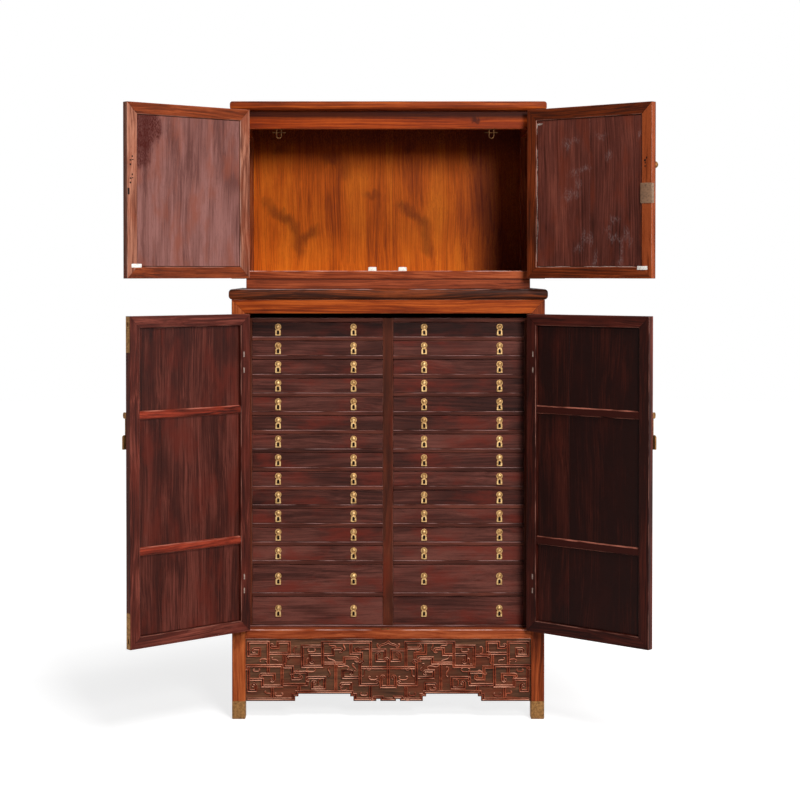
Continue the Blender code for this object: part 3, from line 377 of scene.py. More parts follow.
def lathe(profile: ArrayLike, segments: int = 20, axis: Axis = Axis.UPRIGHT) -> Form:
    """Turn a profile about an axis through the origin.

    The point at a share of the full turn stands at the profile's radius in that direction and at its height.
    The profile starts and ends on the axis, where all the points of a ring fall in one.

    Args:
        profile: Radius and height of each step, from one pole to the other.
        segments: Points round the turn.
        axis: Direction of the axis.

    Returns:
        The closed form.
    """
    radius, height = np.asarray(profile, float).T
    turn = np.linspace(0.0, math.tau, segments, endpoint=False)
    rings = np.stack(np.broadcast_arrays(radius[1:-1, None] * np.cos(turn), radius[1:-1, None] * np.sin(turn),
                                         height[1:-1, None]), -1).reshape(-1, 3)
    poles = np.array(((0.0, 0.0, height[0]), (0.0, 0.0, height[-1])))
    count = len(rings)
    bands, _, last = ring_faces(len(radius) - 2, segments)
    here, there = np.arange(segments), np.roll(np.arange(segments), -1)
    fans = np.concatenate((np.stack((np.full(segments, count), there, here), -1),
                           np.stack((np.full(segments, count + 1), last[0], np.roll(last[0], -1)), -1)))
    points = np.roll(np.concatenate((rings, poles)), axis.value + 1, axis=1)
    return Form.of(points, [bands, fans])


def rounded_outline(half_width: Array, half_height: Array, radius: Array, steps: int = 5) -> Array:
    """Walk round rectangles with rounded corners.

    Each corner is a quarter circle about a centre that stands the radius in from both sides.

    Args:
        half_width: Half size of each ring on the first axis.
        half_height: Half size of each ring on the second axis.
        radius: Radius of the corners of each ring, one for all four or one for each.
        steps: Points on each corner.

    Returns:
        Rings of points, four corners times the steps to a ring.
    """
    wide, tall = half_width[:, None], half_height[:, None]
    corners = np.broadcast_to(radius[:, None] if radius.ndim == 1 else radius, (len(wide), 4))
    bend = np.repeat(corners, steps, axis=1)
    turn = (np.arange(4)[:, None] * math.pi / 2 + np.linspace(0.0, math.pi / 2, steps)).ravel()
    sign_x = np.repeat((1.0, -1.0, -1.0, 1.0), steps)
    sign_y = np.repeat((1.0, 1.0, -1.0, -1.0), steps)
    return np.stack((sign_x * (wide - bend) + bend * np.cos(turn),
                     sign_y * (tall - bend) + bend * np.sin(turn)), -1)


def stacked(rings: Array, heights: ArrayLike, axis: Axis = Axis.UPRIGHT, hollow: bool = False) -> Form:
    """Skin a stack of rings, and close it with a flat face at each end or as a wall round a hole.

    Args:
        rings: Outlines, one after another, with equal counts.
        heights: Height of each outline along the axis.
        axis: Direction of the stack.
        hollow: Whether the last ring is joined to the first.

    Returns:
        The closed form.
    """
    levels, count = rings.shape[:2]
    rise = np.broadcast_to(np.asarray(heights, float)[:, None, None], (levels, count, 1))
    points = np.roll(np.concatenate((rings, rise), -1), axis.value + 1, axis=2)
    if hollow:
        return Form.of(points, [ring_faces(levels + 1, count)[0] % (levels * count)])
    return Form.of(points, ring_faces(levels, count))


def ribbon(path: Array, section: ArrayLike, depth: float, share: ArrayLike = 1.0) -> Form:
    """Carry a section along a path drawn on an upright plane.

    At each point the section is set out along the mean of the two normals there, stretched by one over the
    cosine of half the turn so that the band keeps its width, and it rises towards the front.

    Args:
        path: Place along the width and height of every point.
        section: Distance across the band and rise of every point of the section.
        depth: Depth of the plane.
        share: Width of the band at every point, as a share of the section's.

    Returns:
        The closed band.
    """
    across, rise = np.asarray(section, float).T
    step = np.diff(path, axis=0)
    step /= np.linalg.norm(step, axis=1)[:, None]
    normal = np.stack((-step[:, 1], step[:, 0]), -1)
    before, after = np.vstack((normal[:1], normal)), np.vstack((normal, normal[-1:]))
    bisector = (before + after) / (1.0 + (before * after).sum(axis=1))[:, None]
    width = np.broadcast_to(np.asarray(share, float), len(path))[:, None, None]
    flat = path[:, None, :] + bisector[:, None, :] * across[None, :, None] * width
    out = np.broadcast_to((depth - rise)[None, :, None], (*flat.shape[:2], 1))
    points = np.concatenate((flat[..., :1], out, flat[..., 1:]), -1)
    return Form.of(points, ring_faces(len(path), len(across)))


SHEET_ROWS = 5
SHEET_STEP = 220.0


class NodeSheet:
    """Nodes of a material or of the surround, laid out from left to right as they are made."""

    def __init__(self, owner: Any) -> None:
        """Take up the nodes that a new material or surround starts with.

        Args:
            owner: The material or the surround.
        """
        owner.use_nodes = True
        self.owner, self.tree = owner, owner.node_tree

    def add(self, kind: str, inputs: dict[Any, Any] | None = None, **settings: Any) -> bpy.types.Node:
        """Add a node, set its options and feed its inputs.

        Args:
            kind: Name of the node type.
            inputs: Value or socket for each input, by name or number.
            settings: Options of the node.

        Returns:
            The node.
        """
        node = self.tree.nodes.new(f"ShaderNode{kind}")
        column, row = divmod(len(self.tree.nodes), SHEET_ROWS)
        node.location = (SHEET_STEP * column, -SHEET_STEP * row)
        for key, value in settings.items():
            setattr(node, key, value)
        for key, value in (inputs or {}).items():
            self.feed(node.inputs[key], value)
        return node

    def feed(self, socket: Socket, value: Any) -> None:
        """Link a socket to an input, or set its value.

        Args:
            socket: The input.
            value: Socket, colour or number.
        """
        if isinstance(value, Socket):
            self.tree.links.new(value, socket)
        else:
            seen = socket.type == "RGBA" and len(value) == 3
            socket.default_value = light(value) if seen else value

    def attribute(self, name: str, output: str) -> Socket:
        """Read an attribute of the piece."""
        return self.add("Attribute", attribute_name=name).outputs[output]

    def place(self) -> Socket:
        """Read the place on the piece."""
        return self.add("TexCoord").outputs["Object"]

    def vector(self, operation: str, *values: Any, output: Any = 0) -> Socket:
        """Return the result of one sum of places."""
        return self.add("VectorMath", dict(enumerate(values)), operation=operation).outputs[output]

    def noise(self, vector: Any, scale: Any, detail: float = 2.0, rough: float = 0.5, twist: float = 0.0,
              output: str = "Fac") -> Socket:
        """Return soft noise from 0 to 1.

        Args:
            vector: Place to read it at.
            scale: Waves for each unit of that place, on all axes or on each.
            detail: Finer layers.
            rough: Share of each finer layer.
            twist: Distortion.
            output: Which output to take, the value or a colour.

        Returns:
            The noise.
        """
        if isinstance(scale, tuple):
            vector, scale = self.vector("MULTIPLY", vector, scale), 1.0
        inputs = {"Vector": vector, "Scale": scale, "Detail": detail, "Roughness": rough, "Distortion": twist}
        return self.add("TexNoise", inputs).outputs[output]

    def wander(self, vector: Any, scale: Any, detail: float) -> Socket:
        """Return a direction that drifts about zero: a noise's colour less a half."""
        return self.vector("SUBTRACT", self.noise(vector, scale, detail, output="Color"), (0.5, 0.5, 0.5))

    def spread(self, value: Any, low: float, high: float, to_low: float = 0.0,
               to_high: float = 1.0) -> Socket:
        """Map a range smoothly to another and hold it at the ends."""
        inputs = {"Value": value, "From Min": low, "From Max": high, "To Min": to_low, "To Max": to_high}
        return self.add("MapRange", inputs, interpolation_type="SMOOTHSTEP").outputs[0]

    def math(self, operation: str, first: Any, second: Any = 0.0, third: Any = 0.0) -> Socket:
        """Return the result of one sum."""
        return self.add("Math", {0: first, 1: second, 2: third}, operation=operation).outputs[0]

    def mix(self, share: Any, first: Any, second: Any) -> Socket:
        """Mix two colours.

        Args:
            share: Share of the second.
            first: Colour at a share of zero.
            second: Colour at a share of one.

        Returns:
            The mixed colour.
        """
        node = self.add("Mix", data_type="RGBA", clamp_factor=True)
        for key, value in (("Factor_Float", share), ("A_Color", first), ("B_Color", second)):
            self.feed(next(item for item in node.inputs if item.identifier == key), value)
        return next(item for item in node.outputs if item.identifier == "Result_Color")

    def ramp(self, value: Any, stops: Sequence[tuple[float, Colour]]) -> Socket:
        """Turn a value into a colour between stops.

        Args:
            value: The value.
            stops: Value and colour of each stop, the first and the last one before those between.

        Returns:
            The colour.
        """
        node = self.add("ValToRGB", {"Fac": value})
        for index, (place, colour) in enumerate(stops):
            element = node.color_ramp.elements[index] if index < 2 else node.color_ramp.elements.new(place)
            element.position, element.color = place, light(colour)
        return node.outputs["Color"]

    def bump(self, height: Any, strength: float, distance: float) -> Socket:
        """Turn a height into a bumped normal."""
        return self.add("Bump", {"Height": height, "Strength": strength, "Distance": distance}).outputs[0]

    def finish(self, **inputs: Any) -> bpy.types.Material:
        """Feed the main shader.

        Args:
            inputs: Value or socket for each of its inputs, by name in small letters.

        Returns:
            The material.
        """
        shader = self.tree.nodes["Principled BSDF"]
        for key, value in inputs.items():
            self.feed(shader.inputs[key.replace("_", " ").title().replace("Ior", "IOR")], value)
        return self.owner


@dataclass(frozen=True)
class Finish:
    """A finish that pieces wear.

    Attributes:
        name: Name of the finish.
        slot: Material slot of the record that it matches; not used.
    """

    name: str
    slot: str

    def material(self) -> bpy.types.Material:
        """Return the finish's material, drawn once."""
        return bpy.data.materials.get(self.name) or self.draw(NodeSheet(bpy.data.materials.new(self.name)))

    def draw(self, sheet: NodeSheet) -> bpy.types.Material:
        """Draw the material on a new sheet; every kind of finish has its own way."""
        raise NotImplementedError(f"{self.name} on {sheet.owner.name}")


@dataclass(frozen=True)
class Spot:
    """A spot on a finish: a knot, a scuff, one of the stains, or a patch of painted shade.

    Attributes:
        x: Its middle along the width.
        z: Its middle in height.
        wide: Half its width.
        tall: Half its height.
        strength: Share of its tone.
        edge: Share of the half size at which it starts to fade.
        ragged: How far its edge is pulled about.
    """

    x: float
    z: float
    wide: float
    tall: float
    strength: float
    edge: float = 0.25
    ragged: float = 1.0


@dataclass(frozen=True)
class Wood(Finish):
    """A wood finish: three tones of the figure, the pale tone of rubbed arrises and painted highlights, and
    how the figure is drawn.

    Attributes:
        dark: Tone of the dark figure.
        middle: Main tone.
        light: Tone of the light figure.
        worn_and_sheen: Pale tone of rubbed arrises and of painted highlights.
        figure: Lines of the figure for each step of the slow noise.
        wide: Slow waves for each metre across the grain.
        streak: Share of the fine streaks in the tone.
        rough: Roughness of the polish.
        sway: How far the grain wanders sideways, in metres.
        cloud: Tone of soft clouds over the figure, where it has them.
        stain_and_shade: Tone of the knots, stains and painted shade.
        speckle: How far the stains break up into flecks.
        spots: Knots, stains and patches of painted shade.
    """

    dark: Colour
    middle: Colour
    light: Colour
    worn_and_sheen: Colour
    figure: float = 5.0
    wide: float = 9.0
    streak: float = 0.32
    rough: float = 0.42
    sway: float = 0.06
    cloud: Colour | None = None
    stain_and_shade: Colour = (0, 0, 0)
    speckle: float = 0.0
    spots: tuple[Spot, ...] = ()

    def draw(self, sheet: NodeSheet) -> bpy.types.Material:
        """Draw the wood.

        The grain first wanders sideways with a slow noise. The tone is the sum of soft blotches, lines at
        equal steps of a noise stretched along the grain, streaks, flecks, fibre and the piece's tone step,
        which on some parts is painted light or shade. Pores are short dark dashes. Clouds are soft patches of
        another tone. Rubbed arrises and painted highlights lighten in patches.

        Args:
            sheet: Nodes of the material.

        Returns:
            The material.
        """
        straight = sheet.attribute("grain", "Vector")
        drift = sheet.wander(straight, (1.7, 5.0, 5.0), 2.0)
        place = sheet.vector("MULTIPLY_ADD", drift, (0.0, self.sway, self.sway), straight)
        blotch = sheet.noise(place, (3.0, 10.0, 10.0), 4.0, 0.6)
        slow = sheet.noise(place, (1.3, self.wide, self.wide), 1.5, 0.45, 0.6)
        lines = sheet.math("SINE", sheet.math("MULTIPLY", slow, self.figure * math.tau))
        streaks = sheet.noise(place, (1.4, 210.0, 210.0), 5.0, 0.66)
        flecks = sheet.noise(place, (6.0, 280.0, 280.0), 3.0, 0.6)
        fibre = sheet.noise(place, (8.0, 900.0, 900.0), 2.0, 0.6)
        pores = sheet.spread(sheet.noise(place, (55.0, 1500.0, 1500.0), 1.0), 0.60, 0.72)
        tone = sheet.math("MULTIPLY_ADD", blotch, 0.9, 0.05)
        for part, share in ((streaks, 2.2 * self.streak), (flecks, 1.6 * self.streak), (fibre, 0.30)):
            tone = sheet.math("MULTIPLY_ADD", sheet.math("SUBTRACT", part, 0.5), share, tone)
        tone = sheet.math("MULTIPLY_ADD", lines, 0.10, tone)
        tone = sheet.math("MULTIPLY_ADD", sheet.attribute("tone", "Fac"), 0.5, tone)
        colour = sheet.ramp(tone, ((0.12, self.dark), (0.88, self.light), (0.5, self.middle)))
        colour = sheet.mix(sheet.math("MULTIPLY", pores, 0.45), colour, self.dark)
        if self.cloud is not None:
            puffs = sheet.noise(place, (6.0, 16.0, 16.0), 5.0, 0.62)
            cover = sheet.spread(sheet.attribute("tone", "Fac"), -1.0, 0.1, 0.0, 0.75)
            share = sheet.math("MULTIPLY", sheet.spread(puffs, 0.46, 0.70), cover)
            colour = sheet.mix(share, colour, self.cloud)
        if self.spots:
            colour = self.stained_and_shaded(sheet, colour)
        patch = sheet.spread(sheet.noise(place, (14.0, 90.0, 90.0), 3.0), 0.36, 0.62)
        worn_and_sheen = sheet.math("MULTIPLY", sheet.attribute("wear", "Fac"), patch)
        colour = sheet.mix(sheet.math("MULTIPLY", worn_and_sheen, 0.75), colour, self.worn_and_sheen)
        gloss = sheet.math("MULTIPLY_ADD", fibre, 0.22, self.rough - 0.11)
        gloss = sheet.math("MULTIPLY_ADD", blotch, 0.16, sheet.math("SUBTRACT", gloss, 0.08))
        height = sheet.math("MULTIPLY_ADD", pores, -0.6, fibre)
        height = sheet.math("MULTIPLY_ADD", streaks, 0.8, height)
        return sheet.finish(base_color=colour, roughness=gloss, normal=sheet.bump(height, 0.30, 0.0006),
                            specular_ior_level=0.07)

    def stained_and_shaded(self, sheet: NodeSheet, colour: Socket) -> Socket:
        """Lay the knots, stains and patches of painted shade over a colour: smooth discs whose edge a noise
        pulls about.

        Args:
            sheet: Nodes of the material.
            colour: Colour under them.

        Returns:
            The colour with its spots.
        """
        here = sheet.place()
        drift = sheet.wander(here, (60.0, 60.0, 24.0), 5.0)
        grit = sheet.noise(here, (330.0, 330.0, 150.0), 3.0, 0.6)
        flecks = sheet.spread(grit, 0.40, 0.62, 1.0 - self.speckle, 1.0)
        for spot in self.spots:
            sway = (0.03 * spot.ragged, 0.0, 0.06 * spot.ragged)
            bent = sheet.vector("MULTIPLY_ADD", drift, sway, here)
            away = sheet.vector("SUBTRACT", bent, (spot.x, 0.0, spot.z))
            flat = sheet.vector("MULTIPLY", away, (1.0 / spot.wide, 0.0, 1.0 / spot.tall))
            reach = sheet.vector("LENGTH", flat, output="Value")
            share = sheet.math("MULTIPLY", sheet.spread(reach, spot.edge, 1.1, 1.0, 0.0), spot.strength)
            colour = sheet.mix(sheet.math("MULTIPLY", share, flecks), colour, self.stain_and_shade)
        return colour


@dataclass(frozen=True)
class Metal(Finish):
    """An old brass finish.

    Attributes:
        bright: Tone of the clean metal.
        tarnish: Tone of the tarnish.
        rough: Roughness of the clean metal.
    """

    bright: Colour
    tarnish: Colour
    rough: float

    def draw(self, sheet: NodeSheet) -> bpy.types.Material:
        """Draw the metal: tarnish in soft patches, fine scratches in the gloss and a slightly uneven face.

        Args:
            sheet: Nodes of the material.

        Returns:
            The material.
        """
        here = sheet.place()
        patches = sheet.noise(here, 130.0, 4.0, 0.6)
        darkening = sheet.noise(here, 620.0, 2.0)
        dull = sheet.spread(sheet.math("MULTIPLY_ADD", darkening, 0.35, patches), 0.50, 0.88)
        scratch = sheet.noise(here, (900.0, 900.0, 90.0), 2.0)
        colour = sheet.mix(dull, self.bright, self.tarnish)
        gloss = sheet.math("MULTIPLY_ADD", dull, 0.22, self.rough - 0.05)
        gloss = sheet.math("MULTIPLY_ADD", scratch, 0.12, gloss)
        height = sheet.math("MULTIPLY_ADD", patches, 2.0, scratch)
        return sheet.finish(base_color=colour, roughness=gloss, metallic=1.0,
                            normal=sheet.bump(height, 0.25, 0.0004))


@dataclass(frozen=True)
class Chalk(Finish):
    """A dull finish for the catches, the lock case, the pin ends and the old putty in a groove.

    Attributes:
        pale: Its clean tone.
        grey: Its soiled tone.
    """

    pale: Colour
    grey: Colour

    def draw(self, sheet: NodeSheet) -> bpy.types.Material:
        """Draw the dull finish, soiled in patches.

        Args:
            sheet: Nodes of the material.

        Returns:
            The material.
        """
        soil = sheet.noise(sheet.place(), 160.0, 4.0, 0.65)
        colour = sheet.mix(sheet.spread(soil, 0.46, 0.72), self.pale, self.grey)
        gloss = sheet.math("MULTIPLY_ADD", soil, 0.3, 0.35)
        return sheet.finish(base_color=colour, roughness=gloss, normal=sheet.bump(soil, 0.2, 0.0004))


POST_WOOD = Wood("post_wood", "warm_wood", (84, 32, 14), (146, 65, 30), (190, 100, 52),
                 (200, 140, 110), figure=4.0, wide=26.0, streak=0.55)
RAIL_WOOD = Wood("rail_wood", "warm_wood", (74, 24, 6), (130, 50, 13), (180, 84, 28),
                 (204, 140, 116), figure=6.0, wide=18.0, streak=0.6, sway=0.02)
LEDGE_WOOD = Wood("ledge_wood", "warm_wood", (84, 30, 13), (136, 58, 28), (180, 92, 52),
                  (226, 184, 172), figure=6.0, wide=18.0, streak=0.55)
HAT_RAIL_WOOD = Wood("hat_rail_wood", "warm_wood", (74, 22, 4), (126, 43, 7), (170, 72, 18),
                     (180, 96, 52), figure=7.0, wide=60.0, streak=0.6, sway=0.01, stain_and_shade=(44, 11, 3),
                     # the first spot is painted shadow: the top board's overhang shading the rail's upper
                     # part
                     spots=(Spot(0.0, 1.8520, 9.0, 0.026, 0.85, 0.50, 0.05),
                            Spot(0.265, 1.8260, 0.018, 0.010, 0.8)))
PLINTH_WOOD = Wood("plinth_wood", "warm_wood", (84, 34, 18), (138, 62, 34), (174, 88, 50),
                   (190, 130, 110), wide=12.0, streak=0.5)
CAP_WOOD = Wood("edge_wood", "cap_wood", (30, 13, 8), (60, 27, 14), (126, 58, 26),
                (178, 150, 144), wide=16.0, streak=0.6)
END_WOOD = Wood("end_wood", "warm_wood", (76, 26, 12), (118, 46, 22), (156, 72, 38),
                (176, 106, 76), figure=6.0)
BRANCHES = ((-0.394, 1.590), (-0.374, 1.566), (-0.357, 1.555), (-0.341, 1.545), (-0.328, 1.537),
            (-0.316, 1.529), (-0.304, 1.515), (-0.296, 1.500), (-0.293, 1.480), (-0.292, 1.460),
            (-0.287, 1.443), (-0.284, 1.427), (-0.272, 1.468), (-0.259, 1.476), (-0.247, 1.488),
            (-0.235, 1.500), (0.043, 1.582), (0.060, 1.572), (0.076, 1.562), (0.090, 1.552), (0.105, 1.541),
            (0.116, 1.528), (0.125, 1.513), (0.127, 1.490), (0.129, 1.468), (0.132, 1.447), (0.137, 1.427))
AMBER_WOOD = Wood("chest_amber", "amber_wood", (128, 46, 8), (214, 97, 16), (246, 132, 30),
                  (216, 126, 56), figure=3.0, streak=0.42, stain_and_shade=(78, 22, 8), speckle=0.2,
                  spots=tuple(Spot(x, z, 0.028, 0.025, 0.42, 0.0) for x, z in BRANCHES)
                  + (Spot(-0.194, 1.590, 0.014, 0.050, 0.30), Spot(-0.047, 1.615, 0.036, 0.016, 0.40),
                     Spot(-0.186, 1.737, 0.044, 0.032, 0.45), Spot(-0.349, 1.762, 0.032, 0.020, 0.50),
                     Spot(0.076, 1.770, 0.032, 0.022, 0.55), Spot(-0.137, 1.697, 0.030, 0.050, 0.30),
                     # the last two spots are painted shadow: across the top, under the top rail, and down the
                     # right side, beside the right end
                     Spot(0.0, 1.850, 9.0, 0.140, 0.97, 0.30, 0.25),
                     Spot(0.47, 1.6, 0.24, 9.0, 0.80, 0.25, 0.4)))
SCUFFS = ((0.575, 1.470, 0.012, 0.034), (0.590, 1.462, 0.010, 0.026), (0.560, 1.430, 0.016, 0.020),
          (0.640, 1.488, 0.014, 0.012), (0.652, 1.466, 0.016, 0.014), (0.670, 1.454, 0.014, 0.012),
          (0.686, 1.472, 0.010, 0.026), (0.696, 1.448, 0.010, 0.018), (0.676, 1.420, 0.010, 0.030),
          (0.672, 1.394, 0.012, 0.020), (0.606, 1.400, 0.008, 0.036), (0.560, 1.620, 0.014, 0.022),
          (0.550, 1.652, 0.020, 0.016), (0.575, 1.668, 0.024, 0.012), (0.530, 1.748, 0.018, 0.024),
          (0.552, 1.756, 0.014, 0.014), (0.620, 1.764, 0.020, 0.012), (0.640, 1.700, 0.012, 0.024),
          (0.722, 1.764, 0.010, 0.022), (0.540, 1.590, 0.030, 0.020), (0.655, 1.512, 0.018, 0.018))
BACK_WOOD = Wood("back_wood", "dark_wood", (48, 26, 20), (84, 46, 34), (116, 68, 50),
                 (130, 88, 70))
DRAWER_WOOD = Wood("drawer_wood", "dark_wood", (34, 15, 12), (68, 35, 29), (108, 61, 52),
                   (128, 82, 72), wide=14.0, rough=0.40, streak=0.38, cloud=(104, 38, 28))
LINING_WOOD = Wood("lining_wood", "dark_wood", (92, 60, 38), (140, 98, 64), (172, 128, 88),
                   (176, 136, 100), rough=0.55)
RACK_WOOD = Wood("shelf_wood", "rack_wood", (44, 20, 15), (74, 36, 28), (106, 56, 44),
                 (176, 136, 130), wide=12.0, streak=0.5)
UPRIGHT_WOOD = Wood("upright_wood", "rack_wood", (42, 18, 11), (70, 32, 20), (104, 50, 32),
                    (140, 92, 78), wide=20.0, cloud=(100, 36, 20))
LOWER_FRAME_WOOD = Wood("lower_frame_wood", "door_wood", (38, 14, 10), (78, 32, 24), (130, 66, 53),
                        (150, 100, 86), wide=20.0, streak=0.5, cloud=(92, 34, 24))
LOWER_PANEL_WOOD = Wood("lower_panel_wood", "panel_wood", (30, 10, 7), (60, 24, 17), (106, 52, 42),
                        (120, 76, 64), figure=4.0, streak=0.48, cloud=(86, 30, 20))
BATTEN_WOOD = Wood("batten_wood", "door_wood", (52, 17, 11), (134, 48, 30), (190, 84, 58),
                   (190, 116, 96), wide=20.0, streak=0.5)
UPPER_FRAME_WOOD = Wood("upper_frame_wood", "door_wood", (62, 31, 22), (116, 64, 47), (174, 114, 90),
                        (190, 146, 130), wide=20.0, streak=0.6, cloud=(128, 56, 30))
UPPER_RAIL_WOOD = Wood("upper_rail_wood", "door_wood", (58, 22, 9), (110, 45, 18), (152, 72, 36),
                       (180, 126, 108), wide=20.0, streak=0.6)
UPPER_PANEL_WOOD = Wood("upper_panel_wood", "panel_wood", (56, 29, 25), (100, 60, 54), (140, 94, 87),
                        (150, 104, 94), figure=5.0, streak=0.34, cloud=(128, 68, 52), stain_and_shade=(64, 12, 4),
                        speckle=0.40, spots=(Spot(-0.708, 1.790, 0.050, 0.080, 1.0, 0.72),
                                             Spot(-0.722, 1.705, 0.034, 0.045, 0.9, 0.6)))
OUTER_PANEL_WOOD = Wood("outer_panel_wood", "panel_wood", (48, 20, 14), (92, 46, 36), (128, 70, 54),
                        (150, 104, 94), figure=4.0, streak=0.5, cloud=(112, 48, 32))
SCUFFED_WOOD = Wood("scuffed_panel_wood", "panel_wood", (48, 20, 14), (92, 46, 37), (128, 68, 54),
                    (150, 104, 94), figure=4.0, streak=0.5, cloud=(104, 44, 28), stain_and_shade=(148, 126, 124),
                    speckle=1.0,
                    spots=tuple(Spot(x, z, wide, tall, 0.36, 0.0) for x, z, wide, tall in SCUFFS))
APRON_WOOD = Wood("apron_wood", "door_wood", (54, 34, 24), (92, 60, 43), (128, 86, 62),
                  (140, 92, 68), wide=14.0, streak=0.5, cloud=(108, 46, 28))
# the pale arris tone here is mostly the painted highlight on the beads' upper flanks
FRET_WOOD = Wood("fret_wood", "door_wood", (54, 21, 12), (132, 60, 39), (176, 96, 66),
                 (236, 170, 140), wide=18.0)
SCAR_AND_SHADE_WOOD = Wood("scar_wood", "cap_wood", (20, 9, 6), (34, 16, 11), (52, 26, 18), (60, 40, 32))
BRASS = Metal("bright_brass", "brass", (200, 166, 116), (142, 106, 64), 0.45)
DULL_BRASS = Metal("old_brass", "dull_brass", (146, 106, 64), (112, 80, 48), 0.50)
CASE_BRASS = Chalk("case_brass", "dull_brass", (128, 94, 68), (70, 45, 31))
CLIP_BRASS = Metal("clip_brass", "dull_brass", (98, 66, 40), (50, 32, 20), 0.50)
PALE_CATCH = Chalk("pale_catch", "dull_brass", (240, 236, 228), (200, 190, 176))
PUTTY = Chalk("putty", "panel_wood", (172, 152, 142), (84, 56, 45))
PIN_IRON = Chalk("pin_iron", "dull_brass", (158, 136, 124), (84, 54, 44))


# lightness step of every drawer front from the top; the top row is darker as painted shade under the base's
# top rail
DRAWER_TONES = {Side.LEFT: (-0.4, 0.0, 0.1, -0.1, 0.0, -0.1, 0.1, 0.0, -0.1, 0.1, 0.0, 0.1, 0.4, 0.4, 0.6),
                Side.RIGHT: (-0.3, 0.1, -0.1, 0.0, -0.2, 0.0, 0.1, -0.1, 0.1, 0.0, 0.1, 0.0, 0.4, 0.2, 0.2)}


def make_piece(name: str, form: Form, finish: Finish, stands_for: Sequence[str] = (),
               smooth: float | None = None, body: str = "cabinet") -> None:
    """Turn a form into a piece that rides on a body.

    Args:
        name: Name of the piece.
        form: Its surfaces.
        finish: Its finish.
        stands_for: Solids of the part that it takes the place of.
        smooth: Angle in degrees under which neighbouring faces are shaded as one curve.
        body: Body that carries it.
    """
    mesh = bpy.data.meshes.new(name)
    mesh.vertices.add(len(form.points))
    mesh.vertices.foreach_set("co", form.points.ravel())
    sizes = np.concatenate([np.full(len(part), part.shape[1]) for part in form.faces])
    corners = np.concatenate([part.ravel() for part in form.faces])
    mesh.loops.add(len(corners))
    mesh.loops.foreach_set("vertex_index", corners)
    mesh.polygons.add(len(sizes))
    mesh.polygons.foreach_set("loop_start", np.concatenate(((0,), np.cumsum(sizes)[:-1])))
    mesh.polygons.foreach_set("loop_total", sizes)
    mesh.attributes.new("grain", "FLOAT_VECTOR", "POINT").data.foreach_set("vector", form.grain.ravel())
    mesh.attributes.new("tone", "FLOAT", "POINT").data.foreach_set("value", form.tone)
    mesh.attributes.new("wear", "FLOAT", "FACE").data.foreach_set("value", np.concatenate(form.wear))
    mesh.update(calc_edges=True)
    solid = bmesh.new()
    solid.from_mesh(mesh)
    bmesh.ops.recalc_face_normals(solid, faces=solid.faces)
    solid.to_mesh(mesh)
    solid.free()
    mesh.polygons.foreach_set("use_smooth", np.full(len(mesh.polygons), smooth is not None))
    if smooth is not None:
        mesh.set_sharp_from_angle(angle=math.radians(smooth))
    mesh.materials.append(finish.material())
    piece = bpy.data.objects.new(name, mesh)
    bpy.context.scene.collection.objects.link(piece)
    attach(piece, body)
    if stands_for:
        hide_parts(*stands_for)
    LOG.info("%s on %s: %d faces in %s", name, body, len(mesh.polygons), finish.name)


def pin_heads(places: ArrayLike, radius: float, rise: float, axis: Axis, outward: float,
              segments: int = 8) -> Form:
    """Set low domed pin heads at places.

    Args:
        places: Middle of every head's foot.
        radius: Radius of a head.
        rise: Height of its dome.
        axis: Axis that the heads stand along.
        outward: Sign of the direction they stand in.
        segments: Points round a head.

    Returns:
        The heads.
    """
    turn = np.linspace(0.0, math.pi / 2, 4)
    dome = np.stack((radius * np.cos(turn), rise * np.sin(turn)), -1)
    profile = np.concatenate((((0.0, -rise),), ((radius, -rise),), dome[:-1], ((0.0, rise),)))
    profile[:, 1] *= outward
    head = lathe(profile, segments, axis)
    return join(*[head.moved(*place) for place in np.asarray(places, float).reshape(-1, 3)])


@dataclass(frozen=True)
class Plan:
    """Sizes that several sub-assemblies share, in metres.

    Attributes:
        front: Depth of the front face of the posts.
        rear: Depth of the rear face of the posts.
    """

    front: float
    rear: float
    half_width: float = 0.476
    half_opening: float = 0.435
    half_fit: float = 0.4347
    post: float = 0.041
    rail_depth: float = 0.034
    foot: float = 0.0553
    apron_low: float = 0.054
    bottom_low: float = 0.245
    bottom_high: float = 0.274
    lower_door: Span = (0.2755, 1.2360)
    top_low: float = 1.2375
    base_high: float = 1.279
    cap: Span = (1.2793, 1.3113)
    hat_low: float = 1.3426
    upper_door: Span = (1.3441, 1.8521)
    hat_high: float = 1.8536
    hat_cap: Span = (1.8539, 1.8809)
    stop: float = 0.023
    back_recess: float = 0.010
    back_thick: float = 0.014
    joint: float = 0.0003

    @classmethod
    def read(cls) -> "Plan":
        """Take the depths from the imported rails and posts."""
        return cls(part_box("base_front_top_rail")[0].y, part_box("base_left_end")[1].y)

    @property
    def back_face(self) -> float:
        """Depth of the rear face of the backs."""
        return self.rear - self.back_recess

    @property
    def back_inner(self) -> float:
        """Depth of the inner face of the backs."""
        return self.back_face - self.back_thick


